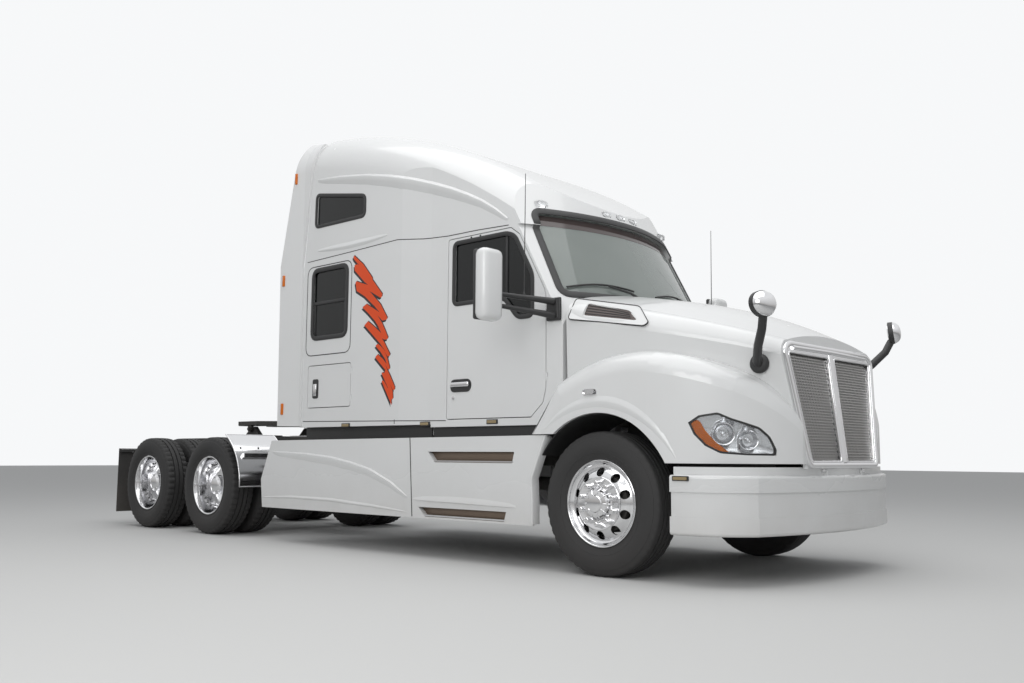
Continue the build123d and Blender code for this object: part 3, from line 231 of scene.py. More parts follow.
effects = {
    "fineGrain": makeGroup("fineGrain", {"Scale": 200.0, "Depth": 1.0}, ("Shade", "Height"), grainWires),
    "roadFilm": makeGroup("roadFilm", {"Amount": 0.3, "Top": 1.0}, ("Mask",), filmWires),
    "clothWeave": makeGroup("clothWeave", {"Pitch": 0.004}, ("Shade", "Height"), weaveWires),
    "polishMarks": makeGroup("polishMarks", {"Scale": 90.0}, ("Shade", "Height"), brushWires),
}


def effectNode(tree, name, **values):
    node = tree.nodes.new("ShaderNodeGroup")
    node.node_tree = effects[name]
    feed(tree, node, values)
    return node.outputs


finishes = {}


def makeFinish(name, slot, colour, tint, rough, metal=0.0, pattern="fineGrain", size=200.0, depth=0.0003,
               bump=0.3, dust=0.0, dustTop=1.0, coat=0.0, spread=0.12, clear=0.0, dustColour=(0.33, 0.29, 0.25)):
    material = bpy.data.materials.new(name)
    material.use_nodes = True
    tree = material.node_tree
    effect = effectNode(tree, pattern, **{"Pitch" if pattern == "clothWeave" else "Scale": size})
    shade = mixColour(tree, effect["Shade"], colour, tint)
    roughness = mathNode(tree, "MULTIPLY_ADD", effect["Shade"], spread, rough - spread / 2)
    if dust:
        film = effectNode(tree, "roadFilm", Amount=dust, Top=dustTop)["Mask"]
        shade = mixColour(tree, film, shade, dustColour)
        roughness = mathNode(tree, "ADD", roughness, mathNode(tree, "MULTIPLY", film, 0.5))
    values = {"Metallic": metal, "Base Color": shade, "Roughness": roughness}
    if coat:
        values |= {"Coat Weight": coat, "Coat Roughness": 0.04}
    if clear:
        values |= {"Transmission Weight": clear, "IOR": 1.45}
    if bump:
        relief = addNode(tree, "ShaderNodeBump", Strength=bump, Distance=depth, Height=effect["Height"])
        values["Normal"] = relief.outputs["Normal"]
    feed(tree, tree.nodes["Principled BSDF"], values)
    finishes[name] = (material, slot)


makeFinish("whitePaint", "white_paint", (0.73, 0.735, 0.735), (0.70, 0.705, 0.70), 0.26, size=900, depth=0.00004,
           bump=0.15, dust=1.0, dustTop=0.85, coat=0.5, spread=0.05)
makeFinish("meshMetal", "chrome", (0.74, 0.73, 0.72), (0.62, 0.61, 0.60), 0.30, metal=0.9, size=260, bump=0.05)
makeFinish("lampSilver", "chrome", (0.80, 0.81, 0.82), (0.72, 0.73, 0.74), 0.16, metal=0.75, size=200, bump=0.03)
makeFinish("satinSilver", "chrome", (0.72, 0.73, 0.74), (0.66, 0.67, 0.68), 0.22, metal=0.85, size=300, bump=0.05)
# near-black for dark joints and seals, also used as painted shade on the plates behind the grille and in the gap under
# the cab floor
makeFinish("seamDark", "black_plastic", (0.018, 0.018, 0.018), (0.03, 0.03, 0.03), 0.6)
makeFinish("chrome", "chrome", (0.80, 0.80, 0.81), (0.74, 0.74, 0.75), 0.07, metal=1.0, size=60, bump=0.05, spread=0.05)
makeFinish("bareAluminium", "polished_aluminium", (0.82, 0.82, 0.83), (0.70, 0.70, 0.71), 0.13, metal=1.0,
           pattern="polishMarks", size=160, depth=0.0001, bump=0.12, spread=0.10)
makeFinish("deckAluminium", "polished_aluminium", (0.50, 0.50, 0.51), (0.40, 0.40, 0.41), 0.38, metal=1.0,
           pattern="polishMarks", size=120, bump=0.2, dust=0.3, dustTop=1.6)
makeFinish("tyreRubber", "tyre_rubber", (0.022, 0.022, 0.023), (0.032, 0.031, 0.030), 0.72, size=420, depth=0.0006,
           bump=0.5, dust=0.16, dustTop=0.9, dustColour=(0.12, 0.10, 0.09))
makeFinish("blackPlastic", "black_plastic", (0.022, 0.022, 0.023), (0.032, 0.032, 0.032), 0.48, size=700, bump=0.35)
makeFinish("flapRubber", "flap_rubber", (0.020, 0.020, 0.020), (0.034, 0.033, 0.032), 0.68, size=300, dust=0.4,
           dustTop=1.2)
makeFinish("frameBlack", "black_frame", (0.020, 0.020, 0.022), (0.045, 0.043, 0.040), 0.45, size=160, depth=0.0005,
           dust=0.35, dustTop=1.8, dustColour=(0.14, 0.125, 0.11))
makeFinish("castBlack", "cast_black", (0.035, 0.034, 0.034), (0.070, 0.066, 0.062), 0.66, size=110, depth=0.0014,
           bump=0.6, dust=0.45, dustTop=1.6, dustColour=(0.15, 0.135, 0.12))
makeFinish("greaseBlack", "cast_black", (0.016, 0.015, 0.014), (0.05, 0.046, 0.04), 0.34, size=70, depth=0.001, bump=0.5)
makeFinish("greyPlastic", "grey_plastic", (0.16, 0.155, 0.15), (0.13, 0.125, 0.12), 0.62, size=800, depth=0.0004, bump=0.4)
makeFinish("darkPlastic", "black_plastic", (0.035, 0.035, 0.036), (0.05, 0.05, 0.05), 0.55, size=800, bump=0.4)
makeFinish("seatCloth", "seat_fabric", (0.10, 0.10, 0.115), (0.14, 0.14, 0.155), 0.88, pattern="clothWeave", size=0.004,
           depth=0.0008, bump=0.5)
makeFinish("bunkCloth", "seat_fabric", (0.30, 0.30, 0.33), (0.24, 0.24, 0.27), 0.9, pattern="clothWeave", size=0.005,
           depth=0.0008, bump=0.5)
makeFinish("tintGlass", "dark_glass", (0.045, 0.05, 0.052), (0.035, 0.04, 0.04), 0.03, size=2, bump=0.0, clear=0.85,
           spread=0.01)
# the windscreen's pale, half-clear base colour is a painted reflection of the bright sky in the glass
makeFinish("screenGlass", "screen_glass", (0.52, 0.57, 0.54), (0.44, 0.49, 0.465), 0.03, size=2, bump=0.0, clear=0.62,
           spread=0.01)
makeFinish("screenBand", "dark_glass", (0.075, 0.058, 0.056), (0.09, 0.07, 0.068), 0.10, size=2, bump=0.0, spread=0.02)
makeFinish("lampLens", "lamp_glass", (0.93, 0.94, 0.95), (0.90, 0.91, 0.92), 0.03, size=2, bump=0.0, clear=1.0, spread=0.01)
makeFinish("amberLens", "lamp_glass", (0.85, 0.22, 0.015), (0.75, 0.17, 0.01), 0.14, size=500, bump=0.2, clear=0.25)
# the vent slot's dark brown is painted shade inside the vent opening with a painted brownish reflection
makeFinish("ventBrown", "black_plastic", (0.060, 0.042, 0.038), (0.08, 0.058, 0.052), 0.4, size=300, bump=0.2)
makeFinish("paleLens", "lamp_glass", (0.40, 0.31, 0.17), (0.34, 0.26, 0.14), 0.16, size=500, bump=0.2, clear=0.2)
makeFinish("redLens", "red_lens", (0.42, 0.012, 0.010), (0.34, 0.01, 0.01), 0.14, size=500, bump=0.2, clear=0.2)
makeFinish("mirrorGlass", "chrome", (0.82, 0.83, 0.84), (0.80, 0.81, 0.82), 0.02, metal=1.0, size=2, bump=0.0, spread=0.01)
makeFinish("stepMetal", "cast_black", (0.17, 0.125, 0.095), (0.23, 0.18, 0.14), 0.42, metal=0.6, size=90, bump=0.4)
makeFinish("orangeVinyl", "white_paint", (0.74, 0.070, 0.003), (0.68, 0.060, 0.003), 0.42, size=60, bump=0.0, spread=0.04)
makeFinish("blackVinyl", "black_plastic", (0.012, 0.012, 0.012), (0.02, 0.02, 0.02), 0.34, size=60, bump=0.0, spread=0.04)
print("finishes ready:", len(finishes))


# Mesh makers
def finishOf(obj, finish):
    material, slotName = finishes[finish]
    obj.data.materials.clear()
    obj.data.materials.append(material)


def smoothed(mesh, sharp):
    mesh.shade_smooth()
    mesh.set_sharp_from_angle(angle=math.radians(sharp))


def looseObject(name, bm):
    bmesh.ops.recalc_face_normals(bm, faces=bm.faces)
    mesh = bpy.data.meshes.new(name)
    bm.to_mesh(mesh)
    bm.free()
    return newObject(name, mesh)


def addPiece(name, bm, finish, body, sharp=38, replaces=()):
    bmesh.ops.remove_doubles(bm, verts=bm.verts, dist=1e-5)
    obj = looseObject(name, bm)
    smoothed(obj.data, sharp)
    finishOf(obj, finish)
    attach(obj, body)
    if replaces:
        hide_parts(*replaces)
    return obj


def onePiece(name, finish, body, make, sharp=38, replaces=()):
    bm = bmesh.new()
    make(bm)
    addPiece(name, bm, finish, body, sharp, replaces)


def bothSides(label, finish, body, make, sharp=38, replaces=()):
    # make(bm, hand) builds one side; a body or node whose name ends in an underscore is there once a side
    for hand, tail in sides:
        own = [name + tail if name.endswith("_") else name for name in (body, *replaces)]
        onePiece(f"{label}_{tail}", finish, own[0], lambda bm: make(bm, hand), sharp, own[1:])


def addFace(bm, verts):
    corners = list(dict.fromkeys(verts))
    if len(corners) > 2:
        bm.faces.new(corners)


def ringOf(bm, points):
    return [bm.verts.new(p) for p in points]


def skin(bm, rings, loop=False, caps=False):
    for first, second in zip(rings, rings[1:] + rings[:1] * loop):
        for k in range(len(first)):
            j = (k + 1) % len(first)
            addFace(bm, (first[k], first[j], second[j], second[k]))
    if caps:
        addFace(bm, rings[0])
        addFace(bm, rings[-1])


def spokes(count, phase=0.0):
    return [(math.cos(t), math.sin(t)) for t in (math.tau * (k + phase) / count for k in range(count))]


def arcLine(station, height, radius, first, last, count):
    turns = (math.radians(first + (last - first) * k / (count - 1)) for k in range(count))
    return [(station + radius * math.cos(t), height + radius * math.sin(t)) for t in turns]


def rectangle(wide, tall):
    return [(-wide, -tall), (wide, -tall), (wide, tall), (-wide, tall)]


def sideSpot(station, height, x):
    return place(x, station, height)


def addPrism(bm, outline, spot, near, far):
    skin(bm, [ringOf(bm, (spot(*p, level) for p in outline)) for level in (near, far)], caps=True)


def addBlock(bm, hand, box, bevel, steps=2):
    # box: x, stations and heights from and to, for the left side
    x0, x1, s0, s1, z0, z1 = box
    corners = ((s0, z0), (s1, z0), (s1, z1), (s0, z1))
    rings = [ringOf(bm, (place(x, s, z) for s, z in corners)) for x in sorted((hand * x0, hand * x1))]
    skin(bm, rings, caps=True)
    edges = list(dict.fromkeys(e for ring in rings for v in ring for e in v.link_edges))
    bmesh.ops.bevel(bm, geom=edges, offset=bevel, segments=steps, profile=0.5, affect="EDGES")


def addLathe(bm, profile, centre, axis=xAxis, segments=64, wobble=None):
    axis = axis.normalized()
    side = axis.orthogonal().normalized() if abs(axis.x) < 0.9 else zAxis
    other = axis.cross(side)
    rings = []
    for along, radius in profile:
        middle = centre + axis * along
        if radius < 1e-6:
            rings.append(ringOf(bm, [middle]) * segments)
            continue
        reach = [radius + (wobble(i, along, radius) if wobble else 0.0) for i in range(segments)]
        rings.append(ringOf(bm, (middle + (side * c + other * s) * r for (c, s), r in zip(spokes(segments), reach))))
    skin(bm, rings, loop=True)


def addTube(bm, points, radius, count=14, taper=(1.0, 1.0)):
    points = [Vector(p) for p in points]
    last = len(points) - 1
    rings = []
    lift = (points[1] - points[0]).orthogonal()
    for i, point in enumerate(points):
        ahead = (points[min(i + 1, last)] - points[max(i - 1, 0)]).normalized()
        lift = (lift - ahead * lift.dot(ahead)).normalized()
        other = ahead.cross(lift)
        along = i / last * (len(taper) - 1)
        low, high = int(along), min(int(along) + 1, len(taper) - 1)
        r = radius * (taper[low] + (taper[high] - taper[low]) * (along - low))
        rings.append(ringOf(bm, (point + (lift * c + other * s) * r for c, s in spokes(count))))
    skin(bm, rings, caps=True)


def roundCorners(corners, radius, steps=5, closed=True):
    path = []
    for i, corner in enumerate(corners):
        here = Vector(corner)
        if not closed and i in (0, len(corners) - 1):
            path.append(here)
            continue
        before = Vector(corners[i - 1]) - here
        after = Vector(corners[(i + 1) % len(corners)]) - here
        reach = min(radius, before.length * 0.48, after.length * 0.48)
        start = here + before.normalized() * reach
        end = here + after.normalized() * reach
        for t in (k / steps for k in range(steps + 1)):
            path.append(start * (1 - t) ** 2 + here * 2 * t * (1 - t) + end * t * t)
    return path


def divided(path, step, closed=True):
    fine = []
    for first, second in zip(path, path[1:] + path[:1] * closed):
        parts = max(1, int((second - first).length / step))
        fine += [first.lerp(second, k / parts) for k in range(parts)]
    return fine if closed else fine + path[-1:]


def grown(outline, amount, middle=None):
    if middle is None:
        middle = sum(outline, Vector((0, 0))) / len(outline)
    return [middle + (p - middle) * amount for p in outline]


def hullOf(*names):
    verts, faces = [], []
    for name in names:
        mesh = nodes[name].data
        start = len(verts)
        verts += [v.co.copy() for v in mesh.vertices]
        faces += [tuple(start + i for i in p.vertices) for p in mesh.polygons]
    return BVHTree.FromPolygons(verts, faces)


def caster(hull, start, direction):
    # hit(a, b) gives the spot and normal that a ray from start(a, b) meets
    def hit(*given):
        spot, normal, _, _ = hull.ray_cast(start(*given), Vector(direction))
        return (spot, normal) if spot else None
    return hit


def castSides(*names):
    hull = hullOf(*names)
    return {
        -1: caster(hull, lambda station, height: place(-3, station, height), (1, 0, 0)),
        1: caster(hull, lambda station, height: place(3, station, height), (-1, 0, 0)),
    }


def castFront(*names):
    return caster(hullOf(*names), lambda x, height: place(x, -3, height), (0, 1, 0))


def flatHit(x):
    return lambda station, height: (place(x, station, height), Vector((math.copysign(1, x), 0, 0)))


def addStrip(bm, hit, path, section, step=0.05, closed=True, fade=None):
    # section: closed list of (across, out) in metres; fade: size at the ends and power of the swelling
    found = [f for f in (hit(*p) for p in divided([Vector(p) for p in path], step, closed)) if f]
    last = len(found) - 1
    rings = []
    for i, (spot, normal) in enumerate(found):
        before = i - 1 if closed else max(i - 1, 0)
        after = (i + 1) % (last + 1) if closed else min(i + 1, last)
        across = (found[after][0] - found[before][0]).normalized().cross(normal).normalized()
        size = fade[0] + (1 - fade[0]) * math.sin(math.pi * i / last) ** fade[1] if fade else 1.0
        rings.append(ringOf(bm, (spot + across * a * size + normal * b * size for a, b in section)))
    skin(bm, rings, loop=closed, caps=not closed)


def addLine(bm, hit, path, section, step=0.05, fade=None):
    addStrip(bm, hit, path, section, step, False, fade)


def flatSection(width, out, under=0.002):
    half = width / 2
    return [(-half, -under), (-half, out * 0.6), (-half * 0.7, out), (half * 0.7, out), (half, out * 0.6), (half, -under)]


def beadSection(width, rise, under=0.004):
    half = width / 2
    turns = (math.radians(a) for a in range(-90, 91, 30))
    return [(-half, -under)] + [(half * math.sin(t), rise * math.cos(t)) for t in turns] + [(half, -under)]


def creaseSection(rise, above, below):
    return [(above, -0.004), (above * 0.45, rise * 0.55), (0.004, rise), (-0.006, rise * 0.96), (-below * 0.4, rise * 0.45),
            (-below, -0.004)]


def addCarved(bm, solid, holes):
    source, cutters = looseObject("solid", solid), looseObject("holes", holes)
    modifier = source.modifiers.new("cut", "BOOLEAN")
    modifier.operation = "DIFFERENCE"
    modifier.solver = "EXACT"
    modifier.object = cutters
    result = bpy.data.meshes.new_from_object(source.evaluated_get(bpy.context.evaluated_depsgraph_get()))
    bm.from_mesh(result)
    for mesh, obj in ((source.data, source), (cutters.data, cutters)):
        bpy.data.objects.remove(obj)
        bpy.data.meshes.remove(mesh)
    bpy.data.meshes.remove(result)


# Tyres and wheels
rimEdge = mm(-118, 303, -109.6, 303, -109.6, 286.5, 109.6, 286.5, 109.6, 303)
wheel = {
    "height": 0.505,
    "frontStation": 1.274,
    "frontX": 1.060,
    "driveStations": {"forward": 6.460, "rear": 7.780},
    "innerX": 0.750,
    "outerX": 1.093,
    "segments": 144,
    "holes": 10,
    "holeRadius": 0.032,
    "holeCircle": 0.219,
    "nuts": 10,
    "nutCircle": 0.1425,
    "capBolts": 8,
    "capCircle": 0.083,
    # length and radius of a nut
    "frontNut": (0.042, 0.0195),
    "driveNut": (0.045, 0.0185),
    "capBolt": (0.014, 0.008),
    # where hub parts start: out from the middle plane of the outermost tyre
    "frontFace": 0.1302,
    "driveFace": -0.159,
    "capFace": 0.027,
    # half a tyre and whole rims: distance out from the middle plane, radius
    "steerTread": mm(0, 505, 17, 505, 19, 493, 27, 493, 29, 504.8, 58, 504.2, 60, 492.5, 68, 492.5, 70, 503.5, 98, 501.5,
                     109, 498.5, 113, 494, 119, 485, 121.5, 474, 127, 460, 129, 459, 134, 440, 138, 418, 139.5, 398,
                     137.5, 378, 132, 358, 133, 356.5, 132, 353.5, 130, 352.5, 124, 338, 116, 322, 113, 312, 115, 307,
                     109, 303.5, 104.5, 296, 104, 287),
    "driveTread": mm(0, 490, 6, 490, 8, 505, 44, 504.7, 46, 488, 54, 488, 56, 504.2, 90, 502, 108, 499, 114, 495, 122, 480,
                     124.5, 468, 128.5, 456, 130, 455, 134.5, 438, 138.5, 418, 139.5, 398, 137, 376, 131, 358, 132, 356,
                     131, 353, 129, 352, 123, 337, 115, 322, 113, 312, 115, 307, 109, 303.5, 104.5, 296, 104, 287),
    "frontRim": rimEdge + mm(116.5, 303, 118, 300.5, 118, 295.5, 115, 291.5, 108, 288, 100, 283, 93, 276, 86, 268, 84, 260,
                             88, 252, 96, 243, 108, 230, 119, 212, 127, 190, 130, 175, 130, 112, 116, 112, 116, 170,
                             112, 190, 104, 208, 92, 228, 76, 248, 68, 262, 50, 273, -118, 273),
    "outerRim": rimEdge + mm(116.5, 303, 118, 300.5, 118, 295.5, 114, 290, 100, 284, 75, 278, 60, 273, -40, 273, -70, 269,
                             -100, 260, -123, 248, -140, 232, -153, 212, -159, 190, -159.5, 175, -159.5, 112, -173.5, 112,
                             -173.5, 190, -170, 212, -160, 228, -145, 248, -130, 264, -118, 273),
    "innerRim": rimEdge + mm(118, 303, 118, 273, 130, 264, 145, 248, 156, 228, 166, 210, 169, 190, 169, 112, 155, 112,
                             155, 190, 145, 212, 120, 248, 90, 264, 60, 273, -118, 273),
    "frontCover": mm(-30, 0, -30, 111.5, -2, 111.5, -2, 183, 1, 187, 6, 187, 9, 183, 9, 176, 5, 168, 4, 118, 10, 110,
                     30, 102, 44, 93, 48, 78, 50, 62, 58, 56, 60.5, 36, 61.5, 0),
    "coverRib": mm(5, 120, 30, 105, 45, 90, 49, 66),
    "driveCover": mm(-200, 0, -200, 111.5, 0, 111.5, 55, 108, 70, 100, 150, 94, 172, 90, 176, 98, 186, 98, 190, 86, 206, 70,
                     212, 45, 213, 0),
    "frontDrum": mm(985, 0, 985, 205, 1135, 205, 1135, 130, 1160, 112, 1160, 0),
    "driveDrum": mm(655, 45, 655, 205, 860, 205, 880, 112, 880, 45),
}


def addTyres(bm, hand, station, xs, half, notch, reach):
    for x in (hand * x for x in xs):
        def wobble(i, along, radius):
            # every third segment of the shoulder is cut back
            if radius > 0.470 and abs(along - x) > reach and i % 3 == 0:
                return -notch * min(1.0, (radius - 0.466) / 0.02)
            return 0.0

        profile = [(x - a, r) for a, r in reversed(half[1:])] + [(x + a, r) for a, r in half]
        addLathe(bm, profile, place(0, station, wheel["height"]), segments=wheel["segments"], wobble=wobble)


def addTurned(bm, hand, station, profile, segments=64, start=0.0, off=(0.0, 0.0)):
    # a lathe about the axle, or about a line beside it, with its profile counted outwards from start
    centre = place(0, station + off[0], wheel["height"] + off[1])
    addLathe(bm, [(hand * (start + a), r) for a, r in profile], centre, segments=segments)


def addRim(bm, hand, station, profile, x, holeShift):
    solid, holes = bmesh.new(), bmesh.new()
    addTurned(solid, hand, station, profile, 96, x)
    drill = [(-0.07, 0), (-0.07, wheel["holeRadius"]), (0.07, wheel["holeRadius"]), (0.07, 0)]
    for c, s in spokes(wheel["holes"], 0.5):
        addTurned(holes, hand, station, drill, 28, x + holeShift, (wheel["holeCircle"] * c, wheel["holeCircle"] * s))
    addCarved(bm, solid, holes)


def addNuts(bm, hand, station, start, nut, circle, count, phase=0.0):
    length, radius = nut
    shape = [(0, 0), (0, radius * 1.15), (0.006, radius * 1.15), (0.007, radius), (length - 0.006, radius * 0.92),
             (length - 0.002, radius * 0.7), (length, 0)]
    for c, s in spokes(count, phase):
        addTurned(bm, hand, station, shape, 14, start, (circle * c, circle * s))


def addFrontHub(bm, hand):
    station, start = wheel["frontStation"], wheel["frontX"] + wheel["frontFace"]
    addTurned(bm, hand, station, wheel["frontCover"], 64, start)
    addNuts(bm, hand, station, start + 0.004, wheel["frontNut"], wheel["nutCircle"], wheel["nuts"], 0.5)
    for c, s in spokes(wheel["nuts"]):
        rib = [place(hand * (start + a), station + r * c, wheel["height"] + r * s) for a, r in wheel["coverRib"]]
        addTube(bm, rib, 0.006, 10)


def addDriveHub(bm, hand, station):
    start = wheel["outerX"] + wheel["driveFace"]
    addTurned(bm, hand, station, wheel["driveCover"], 64, start)
    addNuts(bm, hand, station, start, wheel["driveNut"], wheel["nutCircle"], wheel["nuts"], 0.5)
    addNuts(bm, hand, station, wheel["outerX"] + wheel["capFace"], wheel["capBolt"], wheel["capCircle"], wheel["capBolts"])


body, station, x = "front_wheel_", wheel["frontStation"], wheel["frontX"]
bothSides("steerTyre", "tyreRubber", body,
          lambda bm, hand: addTyres(bm, hand, station, (x,), wheel["steerTread"], 0.006, 0.100), 38, ("tyre_front_",))
bothSides("steerRim", "bareAluminium", body, lambda bm, hand: addRim(bm, hand, station, wheel["frontRim"], x, 0.10), 30,
          ("rim_front_",))
bothSides("steerHub", "chrome", body, addFrontHub, 30)
bothSides("steerDrum", "castBlack", body, lambda bm, hand: addTurned(bm, hand, station, wheel["frontDrum"], 48))
for row, station in wheel["driveStations"].items():
    body, inner, outer = f"drive_wheel_{row}_", wheel["innerX"], wheel["outerX"]
    bothSides("driveTyres_" + row, "tyreRubber", body,
              lambda bm, hand: addTyres(bm, hand, station, (inner, outer), wheel["driveTread"], 0.012, 0.055), 38,
              (f"tyres_drive_{row}_",))
    bothSides("outerRim_" + row, "bareAluminium", body,
              lambda bm, hand: addRim(bm, hand, station, wheel["outerRim"], outer, -0.155), 30, (f"rims_drive_{row}_",))
    bothSides("innerRim_" + row, "bareAluminium", body,
              lambda bm, hand: addRim(bm, hand, station, wheel["innerRim"], inner, 0.155), 30)
    bothSides("driveHub_" + row, "chrome", body, lambda bm, hand: addDriveHub(bm, hand, station), 30)
    bothSides("driveDrum_" + row, "castBlack", body, lambda bm, hand: addTurned(bm, hand, station, wheel["driveDrum"], 48))
print("wheels ready")

# Carried-over nodes
nodeFinishes = {
    "frameBlack": ("frame_rails", "rear_lights"),
    "castBlack": ("front_axle", "knuckle_right", "knuckle_left", "drive_axles", "drive_suspension", "engine_block",
                  "driveline", "radiator", "fifth_wheel_base"),
    "bareAluminium": ("fuel_tanks", "quarter_fenders"),
    "whitePaint": ("cab_shell", "sleeper_shell", "roof_cap", "door_right", "door_left", "luggage_door_right",
                   "luggage_door_left", "hood_shell", "bumper", "side_skirts", "side_extenders"),
    "screenGlass": ("windshield",),
    "tintGlass": ("sleeper_windows", "door_glass_right", "door_glass_left"),
    "chrome": ("grille", "hood_mirrors"),
    "lampLens": ("headlamps", "roof_markers"),
    "blackPlastic": ("main_mirrors",),
    "flapRubber": ("mud_flaps",),
    "deckAluminium": ("deck_plate",),
    "greaseBlack": ("fifth_wheel_plate",),
    "greyPlastic": ("dashboard",),
    "darkPlastic": ("steering_wheel",),
    "seatCloth": ("seats",),
    "bunkCloth": ("bunk",),
}
for finish, names in nodeFinishes.items():
    for name in names:
        finishOf(nodes[name], finish)
        smoothed(nodes[name].data, 30)

# Windows and their seals
cabSide = 1.055
sleeperSide = 1.090
windowTrim = {
    # side plane, body, finish, width, height, corner radius, outline
    "doorSeal": (cabSide, "cab_door_", "blackPlastic", 0.036, 0.007, 0.05,
                 mm(2028, 1912, 2186, 1912, 2334, 2085, 2917, 2085, 2917, 2604, 2298, 2604, 2215, 2568, 2028, 2238)),
    "lowerSeal": (sleeperSide, "chassis", "blackPlastic", 0.044, 0.008, 0.075,
                  mm(4328, 1938, 4862, 1938, 4862, 2602, 4328, 2602)),
    "upperSeal": (sleeperSide, "chassis", "blackPlastic", 0.034, 0.006, 0.05,
                  mm(4088, 3030, 4848, 3035, 4843, 3356, 4088, 3223)),
    "windowPanelLine": (sleeperSide, "chassis", "seamDark", 0.009, 0.0012, 0.09,
                        mm(4262, 1775, 4955, 1775, 4955, 2640, 4262, 2640)),
}
for label, (x, body, finish, width, out, radius, outline) in windowTrim.items():
    bothSides(label, finish, body, lambda bm, hand: addStrip(bm, flatHit(hand * x), roundCorners(outline, radius),
                                                             flatSection(width, out), 0.06), 50)

# Pieces made of plain blocks: body, finish, sharp angle, replaced nodes, then each block's box, bevel and steps
blockPieces = {
    "lowerWindowRail": ("chassis", "blackPlastic", 38, (), ((1.068, 1.093, 4.345, 4.845, 2.262, 2.292), 0.004, 2),
                        ((1.068, 1.086, 4.352, 4.372, 1.955, 2.268), 0.003, 2),
                        ((1.068, 1.086, 4.818, 4.838, 1.955, 2.268), 0.003, 2)),
    "doorWindowPost": ("cab_door_", "blackPlastic", 38, (), ((1.033, 1.053, 2.300, 2.322, 2.095, 2.598), 0.003, 2)),
    "doorHandle": ("cab_door_", "chrome", 38, (), ((1.059, 1.081, 2.715, 2.925, 1.392, 1.432), 0.011, 4)),
    "luggageHandle": ("luggage_hatch_", "chrome", 38, (), ((1.094, 1.106, 4.755, 4.803, 1.385, 1.500), 0.006, 3)),
    "mirrorShell": ("chassis", "whitePaint", 60, ("main_mirrors",),
                    ((1.4675, 1.6825, 1.930, 2.056, 1.817, 2.353), 0.052, 6)),
    "mirrorBezel": ("chassis", "blackPlastic", 60, (), ((1.4735, 1.6765, 2.028, 2.064, 1.823, 2.347), 0.016, 4)),
    "mirrorPanes": ("chassis", "mirrorGlass", 38, (), ((1.4875, 1.6625, 2.058, 2.067, 1.983, 2.331), 0.0035, 2),
                    ((1.4875, 1.6625, 2.058, 2.067, 1.839, 1.967), 0.0035, 2)),
    # near-black plates in the gap between the skirts and the cab floor: painted shade
    "floorFiller": ("chassis", "seamDark", 38, (), ((1.010, 1.030, 1.960, 3.170, 0.968, 1.066), 0.003, 2),
                    ((1.010, 1.030, 3.190, 4.990, 0.968, 1.089), 0.003, 2)),
}
for label, (body, finish, sharp, replaced, *blocks) in blockPieces.items():
    def addBlocks(bm, hand):
        for block in blocks:
            addBlock(bm, hand, *block)

    bothSides(label, finish, body, addBlocks, sharp, replaced)

cabFront = castFront("cab_shell", "roof_cap")
glassFront = castFront("windshield")
screen = {
    "line": mm(-965, 2070, 965, 2070, 925, 2790, -925, 2790),
    "band": {"x": (-0.885, 0.885), "height": (2.665, 2.758), "parts": (24, 3), "levels": (0.0008, 0.0016)},
}
wiper = {
    "bladeRadius": 0.008,
    "armRadius": 0.010,
    "lift": 0.016,
    "sweeps": ((-0.90, -0.28, -0.20), (-0.02, 0.60, 0.68)),
    "pivot": mm(-12, 0, -12, 26, 20, 24, 26, 0),
}


def between(ends, share):
    return ends[0] + (ends[1] - ends[0]) * share


def addBand(bm):
    # a thin curved sheet on the glass
    band = screen["band"]
    wide, tall = band["parts"]
    rings = []
    for i in range(wide + 1):
        column = [glassFront(between(band["x"], i / wide), between(band["height"], j / tall)) for j in range(tall + 1)]
        low, high = ([spot + normal * level for spot, normal in column] for level in band["levels"])
        rings.append(ringOf(bm, low + high[::-1]))
    skin(bm, rings)
    for ring in (rings[0], rings[-1]):
        for j in range(tall):
            addFace(bm, (ring[j], ring[j + 1], ring[-2 - j], ring[-1 - j]))


def addWipers(bm):
    for start, end, pivot in wiper["sweeps"]:
        line = []
        for t in (k / 12 for k in range(13)):
            height = 2.125 + 0.035 * math.sin(math.pi * t) + 0.02 * t
            spot, normal = glassFront(between((start, end), t), height)
            line.append(spot + normal * wiper["lift"])
        addTube(bm, line, wiper["bladeRadius"], 8)
        tip, tipNormal = glassFront((start + end) / 2 + 0.05, 2.155)
        foot, normal = cabFront(pivot, 2.050)
        arm = [foot + normal * 0.014, (foot + tip) / 2 + normal * 0.045, tip + tipNormal * 0.028]
        addTube(bm, arm, wiper["armRadius"], 8, (1.5, 1.0, 0.8))
        addLathe(bm, wiper["pivot"], foot, normal, 20)


onePiece("screenSeal", "blackPlastic", "chassis",
         lambda bm: addStrip(bm, cabFront, roundCorners(screen["line"], 0.075, 7), flatSection(0.058, 0.009), 0.04), 50)
onePiece("screenBand", "screenBand", "chassis", addBand)
onePiece("wipers", "blackPlastic", "chassis", addWipers)
print("glass ready")

